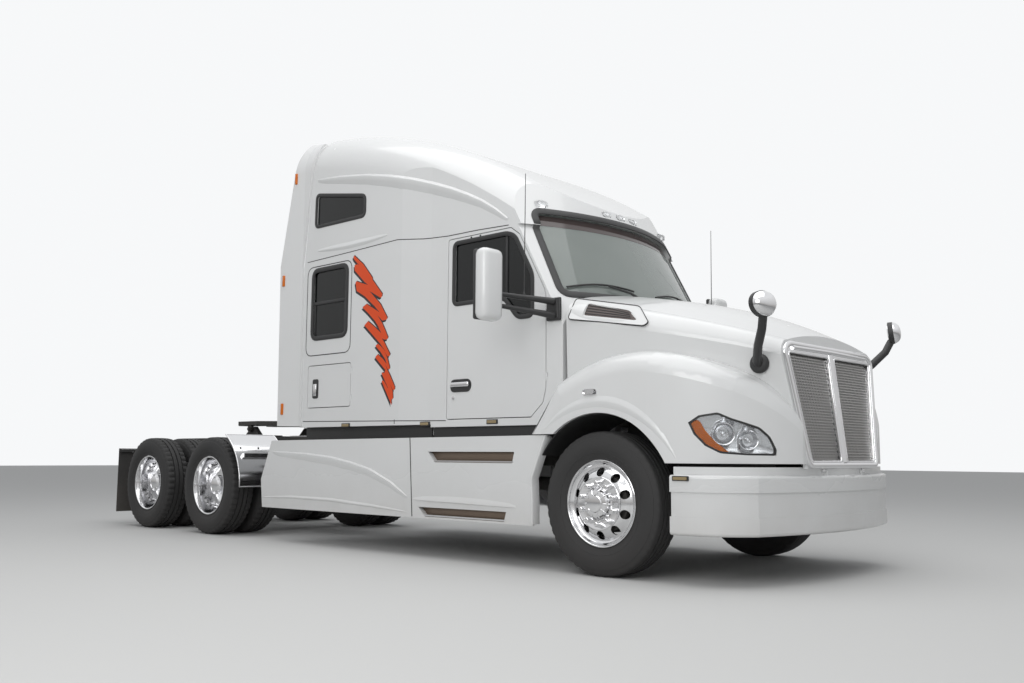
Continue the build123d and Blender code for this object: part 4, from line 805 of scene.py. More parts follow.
# Painted marks on the sleeper
stripe = {
    # finish, shift and height over the panel of each layer
    "layers": {
        "Shade": ("blackVinyl", (0.014, -0.018), 0.0004),
        "Edge": ("blackVinyl", (-0.008, 0.005), 0.0008),
        "": ("orangeVinyl", (0, 0), 0.0014),
    },
    "points": mm(
        4232, 2674, 4092, 2574, 3958, 2434, 3953, 2412, 3811, 2268, 3814, 2245, 3839, 2236, 3931, 2283, 3994, 2314,
        3922, 2252, 3833, 2178, 3733, 2044, 3747, 2029, 3803, 2025, 3840, 2054, 3873, 2078, 3806, 2005, 3765, 1944,
        3720, 1869, 3724, 1855, 3762, 1850, 3804, 1866, 3772, 1831, 3686, 1715, 3693, 1701, 3723, 1698, 3762, 1749,
        3718, 1676, 3686, 1596, 3693, 1582, 3715, 1585, 3755, 1634, 3711, 1568, 3680, 1528, 3613, 1423, 3616, 1399,
        3638, 1398, 3677, 1450, 3642, 1391, 3635, 1328, 3645, 1316, 3657, 1319, 3655, 1266, 3672, 1295, 3795, 1480,
        3784, 1491, 3761, 1480, 3706, 1413, 3710, 1427, 3799, 1552, 3788, 1561, 3759, 1550, 3748, 1580, 3891, 1699,
        3883, 1710, 3857, 1726, 3790, 1685, 3730, 1632, 3752, 1675, 3815, 1741, 3890, 1803, 3883, 1812, 3852, 1820,
        3793, 1779, 3740, 1736, 3833, 1825, 4034, 1986, 4060, 2003, 4006, 2038, 3932, 1993, 3813, 1913, 3795, 1891,
        3866, 1982, 3818, 1939, 3908, 2032, 3997, 2105, 4092, 2173, 4034, 2198, 3948, 2157, 3842, 2102, 3919, 2168,
        3957, 2195, 4062, 2272, 4181, 2334, 4203, 2415, 4188, 2426, 4097, 2396, 4018, 2373, 4067, 2404, 4219, 2530,
        4224, 2581, 4179, 2585, 4152, 2568, 4234, 2640, 4244, 2663),
}


def addVinyl(bm, outline, x, out):
    # both faces are cut into triangles; an edge met by one triangle only is on the rim
    count = len(outline)
    rim = [(k, (k + 1) % count) for k in range(count)]
    spots, _, faces, _, _, _ = delaunay_2d_cdt(outline, rim, [list(range(count))], 1, 1e-5)
    near, far = (ringOf(bm, (place(level, p.x, p.y) for p in spots)) for level in (x - out, x + out))
    edges = {}
    for face in faces:
        addFace(bm, [near[k] for k in face])
        addFace(bm, [far[k] for k in face])
        for pair in zip(face, face[1:] + face[:1]):
            key = tuple(sorted(pair))
            edges[key] = None if key in edges else pair
    for a, b in (pair for pair in edges.values() if pair):
        addFace(bm, (near[a], near[b], far[b], far[a]))


for label, (finish, shift, out) in stripe["layers"].items():
    outline = [Vector((s + shift[0], z + shift[1])) for s, z in stripe["points"]]
    bothSides("zigzag" + label, finish, "chassis", lambda bm, hand: addVinyl(bm, outline, hand * sleeperSide, hand * out))

# Seams, rocker lamps, handles and extender lamps
cabSides = castSides("cab_shell", "sleeper_shell", "roof_cap", "door_right", "door_left")
extenderSides = castSides("side_extenders")
seams = {
    "roof": mm(5018, 2700, 4300, 2716, 3620, 2735, 3300, 2700, 2995, 2682, 2640, 2680, 2290, 2668),
    "rocker": mm(4968, 1147, 3200, 1122, 2995, 1119),
    "tick": mm(3613, 1140, 3613, 1118, 3613, 1100),
}
rockerLamp = {
    "spots": mm(4297, 1100, 3247, 1096, 2454, 1100),
    # finish, near, far, half length, half height, bevel, steps
    "parts": {
        "Base": ("blackPlastic", -0.004, 0.006, 0.062, 0.019, 0.004, 2),
        "": ("paleLens", 0.004, 0.014, 0.050, 0.012, 0.005, 3),
    },
}
dishes = {
    # side plane, body, corner radius, steps, outline
    "doorHandleDish": (cabSide, "cab_door_", 0.05, 6, mm(2700, 1350, 2940, 1350, 2940, 1455, 2700, 1455)),
    "luggageHandleDish": (sleeperSide, "luggage_hatch_", 0.022, 5, mm(4735, 1362, 4823, 1362, 4823, 1545, 4735, 1545)),
}
extenderLamps = mm(5210, 3560, 5292, 2540, 5262, 1270)
for label, line in seams.items():
    bothSides(label + "Seam", "seamDark", "chassis",
              lambda bm, hand: addLine(bm, cabSides[hand], line, flatSection(0.007, 0.0015)))
for k, spot in enumerate(rockerLamp["spots"]):
    for label, (finish, near, far, wide, tall, bevel, steps) in rockerLamp["parts"].items():
        def addRocker(bm, hand):
            x = abs(cabSides[hand](*spot)[0].x)
            station, height = spot
            box = (x + near, x + far, station - wide, station + wide, height - tall, height + tall)
            addBlock(bm, hand, box, bevel, steps)

        bothSides(f"rockerLamp{label}_{k}", finish, "chassis", addRocker)
for label, (x, body, radius, steps, outline) in dishes.items():
    def addDish(bm, hand):
        addPrism(bm, roundCorners(outline, radius, steps), sideSpot, hand * (x - 0.002), hand * (x + 0.005))

    bothSides(label, "blackPlastic", body, addDish)


def addOutward(bm, hand, spot, profile, segments):
    addLathe(bm, [(hand * a, r) for a, r in profile], place(hand * spot[0], *spot[1:]), segments=segments)


def addStuds(bm, hand):
    for station in (2.607, 2.713):
        addOutward(bm, hand, (cabSide, station, 2.628), mm(0, 0, 0, 9, 5, 7, 6, 0), 12)


def addExtenderLamps(bm, hand):
    # each lamp sits at the last place towards the rear edge where the extender is met
    for station, height in extenderLamps:
        found = None
        while not found:
            found = extenderSides[hand](station - 0.03, height)
            station -= 0.02
        station += 0.01
        x = abs(found[0].x)
        box = (x - 0.01, x + 0.01, station - 0.045, station - 0.015, height - 0.055, height + 0.055)
        addBlock(bm, hand, box, 0.006, 3)


bothSides("doorLock", "chrome", "cab_door_",
          lambda bm, hand: addOutward(bm, hand, (cabSide, 2.905, 1.305), mm(0, 0, 0, 16, 6, 16, 8, 0), 20))
bothSides("doorStuds", "seamDark", "cab_door_", addStuds)
bothSides("extenderLamps", "amberLens", "chassis", addExtenderLamps)

# Long creases pressed into roof, wheel arches and skirts
hoodSides = castSides("hood_shell")
skirtFlats = {-1: flatHit(-1.200), 1: flatHit(1.200)}
arch = {"station": 1.274, "height": 0.505, "radius": 0.630, "thick": 0.006, "inner": 0.62, "outer": 1.190, "sweep": 0.712}
creases = {
    # surface, body, rise, width above and below, step, fade, line
    "roofSweep": (cabSides, "chassis", 0.026, 0.10, 0.030, 0.06, (0.25, 0.6),
                  mm(4830, 3505, 4450, 3462, 4051, 3398, 3740, 3328, 3431, 3244, 3180, 3163, 2928, 3069, 2750, 2992,
                     2583, 2911, 2430, 2818, 2300, 2722)),
    "roofLow": (cabSides, "chassis", 0.012, 0.035, 0.05, 0.06, (0.25, 0.6),
                mm(4800, 2794, 4550, 2785, 4307, 2778, 4000, 2785, 3760, 2800)),
    "archSweep": (hoodSides, "hood", 0.011, 0.055, 0.055, 0.05, (0.08, 0.9),
                  arcLine(arch["station"], arch["height"], arch["sweep"], -6, 158, 36)),
    "skirtSweep": (skirtFlats, "chassis", 0.020, 0.075, 0.022, 0.06, (0.2, 0.5),
                   mm(5300, 858, 5175, 849, 4760, 832, 4375, 802, 4070, 757, 3795, 701, 3520, 602, 3300, 490)),
    "skirtLower": (skirtFlats, "chassis", 0.009, 0.020, 0.026, 0.06, (0.2, 0.5),
                   mm(5440, 415, 4985, 430, 4358, 424, 3800, 396, 3300, 362)),
    "skirtFore": (skirtFlats, "chassis", 0.010, 0.012, 0.060, 0.06, (0.3, 0.5), mm(3225, 468, 2700, 462, 2060, 448)),
}
for label, (hits, body, rise, above, below, step, fade, line) in creases.items():
    bothSides(label, "whitePaint", body,
              lambda bm, hand: addLine(bm, hits[hand], line, creaseSection(rise, above, below), step, fade), 60)
print("cab details ready")

# Hood vents: a flat plate through three points of the hood, with a bezel, a dark brown slot block painted with the
# shade and reflection seen in the vent, and fins
vent = {
    "plane": mm(1620, 1985, 1620, 1852, 1060, 1780),
    "bezel": roundCorners(mm(1660, 2011, 1122, 1909, 1010, 1776, 1036, 1750, 1660, 1844), 0.03),
    "slot": roundCorners(mm(1540, 1963, 1190, 1880, 1105, 1806, 1120, 1798, 1540, 1866), 0.02),
    "edge": [(-0.003, 0.004), (-0.003, 0.0145), (0.003, 0.0145), (0.003, 0.004)],
    "fin": [(-0.003, 0.006), (-0.002, 0.0115), (0.002, 0.0115), (0.003, 0.006)],
    "fins": 4,
}


def ventPlane(hand):
    corners = [hoodSides[hand](*p)[0] for p in vent["plane"]]
    normal = (corners[1] - corners[0]).cross(corners[2] - corners[0]).normalized()
    if normal.x * hand < 0:
        normal = -normal

    def hit(station, height):
        spot = place(0, station, height)
        return spot + xAxis * ((corners[0] - spot).dot(normal) / normal.x), normal
    return hit


ventHits = {hand: ventPlane(hand) for hand, _ in sides}


def addBezel(bm, hand):
    outer = divided(vent["bezel"], 0.02)
    fine = divided(vent["slot"], 0.004)
    inner = [min(fine, key=lambda q: (q - p).length) for p in outer]
    rings = []
    for line, lift in ((outer, -0.006), (outer, 0.012), (inner, 0.012), (inner, -0.002)):
        rings.append(ringOf(bm, (spot + normal * lift for spot, normal in (ventHits[hand](*p) for p in line))))
    skin(bm, rings, loop=True)
    bmesh.ops.dissolve_degenerate(bm, edges=bm.edges, dist=1e-5)


# a solid block fills the vent opening; its colour is painted shade and a painted reflection
def addSlot(bm, hand):
    def lifted(station, height, level):
        spot, normal = ventHits[hand](station, height)
        return spot + normal * level

    addPrism(bm, grown(vent["slot"], 1.04), lifted, -0.004, 0.0075)


def addFins(bm, hand):
    for t in ((k + 0.8) / (vent["fins"] + 0.6) for k in range(vent["fins"])):
        line = [(1.535, 1.866 + 0.097 * t), (1.330, 1.833 + 0.084 * t), (1.150 + 0.045 * t, 1.810 + 0.062 * t)]
        addLine(bm, ventHits[hand], line, vent["fin"])


bothSides("ventBezel", "whitePaint", "hood", addBezel, 45)
bothSides("ventEdge", "seamDark", "hood", lambda bm, hand: addStrip(bm, ventHits[hand], vent["bezel"], vent["edge"], 0.03))
bothSides("ventSlot", "ventBrown", "hood", addSlot)
bothSides("ventFins", "blackPlastic", "hood", addFins)

# Lamp plates on fender and bumper, and the liner inside the wheel arch
bumperSides = castSides("bumper")
fenderLamp = {"spot": (1.327, 1.285), "size": (0.115, 0.042)}
bumperLamp = {"spot": (0.575, 0.693)}


def addPlate(bm, outline, found, across, rise, near, far):
    spot, normal = found
    addPrism(bm, outline, lambda a, b, d: spot + across * a + rise * b + normal * d, near, far)


def addFenderLamp(bm, hand, share, near, far):
    found = hoodSides[hand](*fenderLamp["spot"])
    along = (yAxis - found[1] * found[1].y).normalized()
    wide, tall = (share * size for size in fenderLamp["size"])
    outline = [(p.x * wide, p.y * tall) for p in roundCorners(rectangle(0.5, 0.5), 0.22)]
    addPlate(bm, outline, found, along, found[1].cross(along), near, far)


def addBumperLamp(bm, hand, wide, tall, near, far):
    found = bumperSides[hand](*bumperLamp["spot"])
    along = zAxis.cross(found[1]).normalized()
    addPlate(bm, roundCorners(rectangle(wide, tall), 0.006), found, along, zAxis, near, far)


def addLiner(bm, hand):
    outer, inner = (arcLine(arch["station"], arch["height"], radius, 32, 150, 41)
                    for radius in (arch["radius"], arch["radius"] - arch["thick"]))
    low, high = arch["inner"], arch["outer"]
    rings = [ringOf(bm, sided(hand, (low, *a), (high, *a), (high, *b), (low, *b))) for a, b in zip(outer, inner)]
    skin(bm, rings, caps=True)


for label, finish, maker, facts, body in (
        ("fenderLampBase", "chrome", addFenderLamp, (1.0, -0.004, 0.010), "hood"),
        ("fenderLamp", "lampLens", addFenderLamp, (0.82, 0.006, 0.026), "hood"),
        ("bumperLampBase", "blackPlastic", addBumperLamp, (0.062, 0.016, -0.002, 0.006), "chassis"),
        ("bumperLamp", "paleLens", addBumperLamp, (0.052, 0.010, 0.004, 0.012), "chassis")):
    bothSides(label, finish, body, lambda bm, hand: maker(bm, hand, *facts))
bothSides("archLiner", "blackPlastic", "hood", addLiner)
print("hood details ready")

# Grille: the CAD surround stays, with rounded chrome beads and a fine honeycomb in front of a near-black plate that
# paints the shade behind the mesh
grille = {
    "bottom": 0.765, "top": 1.615, "front": 0.020, "rake": 0.096,
    "window": mm(42, 805, 490, 805, 628, 1540, 42, 1540),
    "outline": mm(-524, 781, -672, 1556, -604, 1598, 604, 1598, 672, 1556, 524, 781),
    "meshDepth": 0.020, "backDepth": 0.036, "cellPitch": 0.0235, "rowStep": 0.0198, "cellWidth": 0.0185,
    "cellHeight": 0.0160, "cellDepth": 0.007, "wire": 0.0026, "rows": 37,
}
grilleLean = math.atan2(grille["rake"], grille["top"] - grille["bottom"])
grilleNormal = Vector((0, -math.cos(grilleLean), math.sin(grilleLean)))
grilleUp = Vector((0, math.sin(grilleLean), math.cos(grilleLean)))


def grilleHit(x, height):
    station = grille["front"] + grille["rake"] * (height - grille["bottom"]) / (grille["top"] - grille["bottom"])
    return place(x, station, height), grilleNormal


def grilleSpot(x, height, depth):
    return grilleHit(x, height)[0] - grilleNormal * depth


def addBeads(bm):
    addStrip(bm, grilleHit, roundCorners(grille["outline"], 0.045, 6), beadSection(0.042, 0.013))
    for hand, _ in sides:
        corners = [(hand * x, z) for x, z in grille["window"]]
        addStrip(bm, grilleHit, roundCorners(corners, 0.030, 6), beadSection(0.018, 0.008))


def addBars(bm):
    addLine(bm, grilleHit, mm(0, 800, 0, 1560), beadSection(0.062, 0.016), 0.08)
    addLine(bm, grilleHit, mm(-560, 1574, 0, 1580, 560, 1574), beadSection(0.036, 0.016), 0.08)


# a near-black plate behind the mesh: painted shade where the grille's depth would be dark
def addShadePlate(bm, hand):
    corners = [(hand * (x - 0.004 if x < 0.1 else x + 0.004), z) for x, z in grille["window"]]
    addPrism(bm, corners, grilleSpot, grille["backDepth"], grille["backDepth"] + 0.004)


onePiece("grilleBeads", "chrome", "hood", addBeads, 60)
onePiece("grilleBars", "chrome", "hood", addBars, 60)
bothSides("grilleBacking", "seamDark", "hood", addShadePlate)


def cellTree():
    # cells on points in staggered rows, less those past the window's sloping outer edge
    tree = bpy.data.node_groups.new("grilleMesh", "GeometryNodeTree")
    inputs = {
        "Columns": ("Int", 26), "Rows": ("Int", 40), "Pitch": ("Float", grille["cellPitch"]),
        "Row step": ("Float", grille["rowStep"]), "Bottom width": ("Float", 0.448), "Top width": ("Float", 0.586),
        "Side": ("Float", 1.0), "Finish": ("Material", None), "Cell": ("Object", None),
    }
    names = {}
    for name, (kind, value) in inputs.items():
        socket = tree.interface.new_socket(name, in_out="INPUT", socket_type="NodeSocket" + kind)
        if value is not None:
            socket.default_value = value
        names[name] = socket.identifier
    tree.interface.new_socket("Geometry", in_out="OUTPUT", socket_type="NodeSocketGeometry")
    given = addNode(tree, "NodeGroupInput").outputs

    def maths(operation, *values):
        return mathNode(tree, operation, *values)

    def step(kind, **values):
        return addNode(tree, "GeometryNode" + kind, **values).outputs[0]

    index = step("InputIndex")
    row = maths("FLOOR", maths("DIVIDE", index, given["Columns"]))
    column = maths("SUBTRACT", index, maths("MULTIPLY", row, given["Columns"]))
    shift = maths("MULTIPLY", maths("MODULO", row, 2.0), 0.5)
    x = maths("MULTIPLY", maths("ADD", maths("ADD", column, shift), 0.45), given["Pitch"])
    y = maths("MULTIPLY", maths("ADD", row, 0.6), given["Row step"])
    spot = addNode(tree, "ShaderNodeCombineXYZ", X=maths("MULTIPLY", x, given["Side"]), Y=y).outputs[0]
    points = step("Points", Count=maths("MULTIPLY", given["Columns"], given["Rows"]), Position=spot)
    at = splitNode(tree, step("InputPosition"))
    wider = maths("SUBTRACT", given["Top width"], given["Bottom width"])
    span = maths("MULTIPLY", given["Rows"], given["Row step"])
    edge = maths("ADD", given["Bottom width"], maths("MULTIPLY", wider, maths("DIVIDE", at["Y"], span)))
    drop = tree.nodes.new("GeometryNodeDeleteGeometry")
    drop.domain = "POINT"
    feed(tree, drop, {"Geometry": points, "Selection": maths("GREATER_THAN", maths("ABSOLUTE", at["X"]), edge)})
    shape = addNode(tree, "GeometryNodeObjectInfo", Object=given["Cell"]).outputs["Geometry"]
    cells = step("RealizeInstances", Geometry=step("InstanceOnPoints", Points=drop.outputs[0], Instance=shape))
    addNode(tree, "NodeGroupOutput", Geometry=step("SetMaterial", Geometry=cells, Material=given["Finish"]))
    return tree, names


def meshCell():
    bm = bmesh.new()
    rings = []
    for grow, depth in ((0, 0), (0, grille["cellDepth"]), (grille["wire"], grille["cellDepth"]), (grille["wire"], 0)):
        wide, tall = grille["cellWidth"] / 2 + grow, (grille["cellHeight"] / 2 + grow) / math.sin(math.radians(60))
        rings.append(ringOf(bm, ((wide * c, tall * s, -depth) for c, s in spokes(6))))
    skin(bm, rings, loop=True)
    return looseObject("meshCell", bm)


tree, names = cellTree()
cell = meshCell()
for hand, tail in sides:
    holder = looseObject("grilleMeshHolder", bmesh.new())
    modifier = holder.modifiers.new("grilleMesh", "NODES")
    modifier.node_group = tree
    inputs = {"Cell": cell, "Side": float(hand), "Rows": grille["rows"], "Finish": finishes["meshMetal"][0]}
    for name, value in inputs.items():
        modifier[names[name]] = value
    bpy.context.view_layer.update()
    mesh = bpy.data.meshes.new_from_object(holder.evaluated_get(bpy.context.evaluated_depsgraph_get()))
    corner = grilleSpot(hand * 0.042, 0.805, grille["meshDepth"])
    mesh.transform(Matrix.Translation(corner) @ Matrix((xAxis, grilleUp, grilleNormal)).transposed().to_4x4())
    piece = newObject("grilleMesh_" + tail, mesh)
    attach(piece, "hood")
    bpy.data.objects.remove(holder)
bpy.data.objects.remove(cell)
print("grille ready")

# Headlamps: dark housing, two bowls, an amber corner and a clear lens over them
lamp = {
    "yaw": 35.0, "centre": (0.990, 0.350), "middle": Vector((0.01, 0.98)), "bowlDepth": 0.052,
    "outline": roundCorners(mm(-254, 1055, -200, 1099, -90, 1118, -10, 1081, 178, 1021, 247, 963, 291, 880, 286, 848,
                               90, 850, -75, 861, -163, 909, -225, 982), 0.02),
    "amber": roundCorners(mm(-245, 1050, -222, 988, -160, 914, -72, 867, -20, 864, -70, 900, -120, 950, -165, 1010,
                             -190, 1062, -215, 1074), 0.012),
    "seal": [(-0.007, -0.016), (-0.007, 0.0005), (0.004, 0.0015), (0.006, -0.002), (0.006, -0.016)],
    "bowls": ((-0.055, 0.985, 0.070), (0.105, 0.945, 0.062)),
    # distance out, share of the radius
    "bowl": ((0, 0), (0.004, 0.45), (0.014, 0.72), (0.034, 0.95), (0.040, 1), (0.041, 1.07), (0.032, 1.07), (-0.006, 0.5),
             (-0.008, 0)),
    "bulb": mm(0, 0, 0, 16, 20, 16, 30, 12.8, 36, 0),
}
lampRim = grown(lamp["outline"], 0.985, lamp["middle"])
lampHull = hullOf("headlamps")


def lampCaster(hand):
    yaw = math.radians(lamp["yaw"])
    across = Vector((-hand * math.cos(yaw), -math.sin(yaw), 0))
    ahead = Vector((hand * math.sin(yaw), -math.cos(yaw), 0))
    x, station = lamp["centre"]
    return caster(lampHull, lambda u, height: place(hand * x, station, height) + ahead * 0.6 + across * u, -ahead)


lampHits = {hand: lampCaster(hand) for hand, _ in sides}


def addShell(bm, hit, outline, depth, thick, bow=0.0):
    # closed shell: rings of the shrinking outline in front and behind, with one vert in the middle of each
    path = divided(outline, 0.02)
    middle = sum(path, Vector((0, 0))) / len(path)
    shares = (0, 0.2, 0.4, 0.6, 0.8, 0.94, 1)
    rings = []
    for share, behind in [(share, 0) for share in shares] + [(share, thick) for share in reversed(shares)]:
        lift = depth + behind + bow * (1 - share ** 3)
        line = grown(path, share, middle) if share else [middle]
        ring = ringOf(bm, (spot - normal * lift for spot, normal in (hit(*p) for p in line)))
        rings.append(ring if share else ring * len(path))
    skin(bm, rings)


def addBowls(bm, hand):
    for u, height, radius in lamp["bowls"]:
        spot, normal = lampHits[hand](u, height)
        addLathe(bm, [(a, radius * share) for a, share in lamp["bowl"]], spot - normal * lamp["bowlDepth"], normal, 40)


def addBulbs(bm, hand):
    for u, height, _ in lamp["bowls"]:
        spot, normal = lampHits[hand](u, height)
        addLathe(bm, lamp["bulb"], spot - normal * (lamp["bowlDepth"] - 0.004), normal, 24)


bothSides("lampLens", "lampLens", "hood", lambda bm, hand: addShell(bm, lampHits[hand], lampRim, 0.0015, 0.003), 38,
          ("headlamps",))
bothSides("lampHousing", "lampSilver", "hood",
          lambda bm, hand: addShell(bm, lampHits[hand], grown(lamp["outline"], 0.955, lamp["middle"]), 0.012, 0.005, 0.034))
bothSides("lampSeal", "seamDark", "hood", lambda bm, hand: addStrip(bm, lampHits[hand], lampRim, lamp["seal"], 0.03), 60)
bothSides("lampCorner", "amberLens", "hood", lambda bm, hand: addShell(bm, lampHits[hand], lamp["amber"], 0.006, 0.005))
bothSides("lampBowls", "chrome", "hood", addBowls, 60)
bothSides("lampBulbs", "lampSilver", "hood", addBulbs, 60)
print("headlamps ready")

# Mirrors on the hood: a round foot, a curved arm and a chromed bowl that looks back to the driver
hoodMirror = {
    "foot": (0.735, 0.262, 1.460), "head": (1.020, 0.062, 1.815), "size": (0.095, 0.055, 0.085), "look": (-0.35, 1.0, -0.12),
    "base": mm(-4, 0, -4, 66, 10, 68, 24, 62, 34, 48, 38, 0), "armRadius": 0.029,
    "arm": ((0.885, 0.185, 1.560), (0.965, 0.110, 1.660), (1.000, 0.080, 1.740), (1.020, 0.062, 1.765)),
    # finish, then share of the depth and of the width
    "parts": {
        "Bowl": ("chrome", (-1, 0.10), (-0.96, 0.34), (-0.82, 0.62), (-0.55, 0.84), (-0.15, 0.97), (0.35, 1.0),
                 (0.40, 0.95)),
        "Rim": ("blackPlastic", (-0.06, 0.95), (-0.02, 1.02), (0.62, 1.03), (0.66, 0.92)),
        "Glass": ("mirrorGlass", (0.62, 0.90), (0.72, 0.88), (0.80, 0.6), (0.84, 0.2)),
    },
}
hoodHull = hullOf("hood_shell")


def addHoodArm(bm, hand):
    spot, normal, _, _ = hoodHull.find_nearest(sided(hand, hoodMirror["foot"])[0])
    addLathe(bm, hoodMirror["base"], spot, normal, 36)
    bend = [spot + normal * 0.020, spot + normal * 0.055 + zAxis * 0.02]
    addTube(bm, bend + sided(hand, *hoodMirror["arm"]), hoodMirror["armRadius"], 16, (1.1, 1.0, 0.95))


def addMirrorPart(bm, hand, profile):
    wide, deep, tall = hoodMirror["size"]
    head = sided(hand, hoodMirror["head"])[0]
    look = Vector((hand * hoodMirror["look"][0], *hoodMirror["look"][1:])).normalized()
    across = look.cross(zAxis).normalized()
    rise = across.cross(look)
    rings = []
    for depth, share in profile:
        middle = head + look * deep * depth
        rings.append(ringOf(bm, (middle + (across * wide * c + rise * tall * s) * share for c, s in spokes(36))))
    skin(bm, rings, caps=True)


bothSides("hoodMirrorArm", "blackPlastic", "hood", addHoodArm, 50, ("hood_mirrors",))
for label, (finish, *profile) in hoodMirror["parts"].items():
    bothSides("hoodMirror" + label, finish, "hood", lambda bm, hand: addMirrorPart(bm, hand, profile), 60)

# Arms of the main mirrors, and the antenna on them
mirrorArm = {
    "x": (1.075, 1.200, 1.340, 1.480),
    "stations": (1.790, 1.840, 1.915, 1.962),
    # height at the cab, rise to the mirror
    "heights": ((1.888, 0.046), (1.995, 0.026)),
    "radius": 0.019,
    "foot": (1.0553, 1.083, 1.728, 1.866, 1.850, 2.026),
    "hinge": ((1.078, 1.752, 1.870), (1.082, 1.756, 2.010)),
    "hingeRadius": 0.012,
}
antenna = {
    "base": (1.300, 1.893, 1.995), "baseProfile": mm(0, 0, 0, 14, 30, 12, 60, 6, 62, 0),
    "mast": ((1.300, 1.893, 2.000), (1.300, 1.889, 2.400), (1.300, 1.884, 2.960)), "radius": 0.0035,
}


def addMirrorArms(bm, hand):
    addBlock(bm, hand, mirrorArm["foot"], 0.010, 3)
    for height, rise in mirrorArm["heights"]:
        heights = (height + rise * share for share in (0, 0.3, 0.7, 1))
        line = sided(hand, *zip(mirrorArm["x"], mirrorArm["stations"], heights))
        addTube(bm, line, mirrorArm["radius"], 14, (1.5, 1.1, 0.9))
    addTube(bm, sided(hand, *mirrorArm["hinge"]), mirrorArm["hingeRadius"], 12)


def addAntenna(bm, hand):
    addTube(bm, sided(hand, *antenna["mast"]), antenna["radius"], 8, (1.3, 1.0, 0.7))
    addLathe(bm, antenna["baseProfile"], sided(hand, antenna["base"])[0], zAxis, 18)


bothSides("mirrorArms", "blackPlastic", "chassis", addMirrorArms, 60)
bothSides("antenna", "blackPlastic", "chassis", addAntenna, 60)
print("mirrors ready")

# Bumper filler, skirts and steps
filler = {
    "line": mm(-1186, 650, -1130, 360, -955, 175, -500, 68, 0, 30, 500, 68, 955, 175, 1130, 360, 1186, 650),
    "half": 0.012, "bottom": 0.704, "top": 0.768,
}
skirt = {
    "x": (1.150, 1.199),
    "split": mm(3275, 980, 3258, 700, 3233, 330),
    "lip": mm(1768, 975, 1900, 668, 1892, 500, 1890, 330),
    "lipSection": [(-0.004, -0.075), (-0.004, -0.002), (0.002, 0.004), (0.014, 0.004), (0.020, -0.002), (0.020, -0.075)],
    "trimSection": [(-0.006, -0.010), (-0.006, 0.000), (0.006, 0.000), (0.006, -0.010)],
    # stations and heights from and to
    "steps": ((2.080, 3.050, 0.776, 0.862), (2.160, 3.160, 0.335, 0.410)),
    "bars": 34,
}


def addFiller(bm):
    path = roundCorners(filler["line"], 0.12, closed=False)
    rings = []
    for k, p in enumerate(path):
        ahead = (path[min(k + 1, len(path) - 1)] - path[max(k - 1, 0)]).normalized()
        inward = Vector((-ahead.y, ahead.x)) * filler["half"]
        low, high = filler["bottom"], filler["top"]
        corners = ((p + inward, low), (p - inward, low), (p - inward, high), (p + inward, high))
        rings.append(ringOf(bm, (place(*q, height) for q, height in corners)))
    skin(bm, rings, caps=True)


def addTreads(bm, hand, s0, s1, z0, z1):
    addBlock(bm, hand, (1.020, 1.192, s0 + 0.004, s1 - 0.004, z0 - 0.001, z0 + 0.005), 0.002)
    for k in range(skirt["bars"]):
        station = s0 + 0.03 + (s1 - s0 - 0.06) * k / (skirt["bars"] - 1)
        addBlock(bm, hand, (1.060, 1.186, station - 0.006, station + 0.006, z0 + 0.004, z0 + 0.010), 0.002)


def addTrims(bm, hand, s0, s1, z0, z1):
    addLine(bm, skirtFlats[hand], [(s0 + 0.01, z0 + 0.010), (s1 - 0.075, z0 + 0.010)], skirt["trimSection"], 0.3)


def addBacks(bm, hand, s0, s1, z0, z1):
    addBlock(bm, hand, (1.150, 1.156, s0 + 0.002, s1 - 0.002, z0, z1 + 0.002), 0.001)


def addCorners(bm, hand, s0, s1, z0, z1):
    near, far = (hand * x for x in skirt["x"])
    addPrism(bm, [(s1 + 0.001, z0 - 0.001), (s1 + 0.001, z1 + 0.001), (s1 - 0.085, z0 - 0.001)], sideSpot, near, far)
    addPrism(bm, [(s0 - 0.001, z1 + 0.001), (s0 - 0.001, z0 - 0.001), (s0 + 0.022, z0 - 0.001)], sideSpot, near, far)


onePiece("bumperFiller", "whitePaint", "chassis", addFiller)
bothSides("skirtSplit", "seamDark", "chassis",
          lambda bm, hand: addLine(bm, skirtFlats[hand], skirt["split"], flatSection(0.010, 0.0015)))
bothSides("skirtLip", "whitePaint", "chassis",
          lambda bm, hand: addLine(bm, skirtFlats[hand], skirt["lip"], skirt["lipSection"]), 50)
for label, finish, sharp, maker in (("Treads", "stepMetal", 38, addTreads), ("Trims", "chrome", 60, addTrims),
                                    ("Backs", "stepMetal", 38, addBacks), ("Corners", "whitePaint", 38, addCorners)):
    def addSteps(bm, hand):
        for step in skirt["steps"]:
            maker(bm, hand, *step)

    bothSides("step" + label, finish, "chassis", addSteps, sharp)
print("skirts ready")

# Seats, bunk and cab interior
cushions = {
    # centre, half sizes, cell size, lean in degrees, corner radius, finish, firmness, replaced node
    "seatPad": ((0.5, 2.690, 1.542), (0.238, 0.248, 0.082), 0.020, 0.0, 0.055, "seatCloth", 0.7, "seats"),
    "seatBack": ((0.5, 3.052, 1.845), (0.238, 0.052, 0.325), 0.020, 8.0, 0.045, "seatCloth", 0.7, "seats"),
    "headrest": ((0.5, 3.102, 2.242), (0.135, 0.042, 0.062), 0.014, 8.0, 0.036, "seatCloth", 0.8, "seats"),
    "mattress": ((0.0, 4.540, 1.815), (1.030, 0.420, 0.068), 0.034, 0.0, 0.050, "bunkCloth", 0.5, "bunk"),
}
stuffing = {"pressure": 4.0, "frames": 20, "quality": 5, "cap": 0.012}


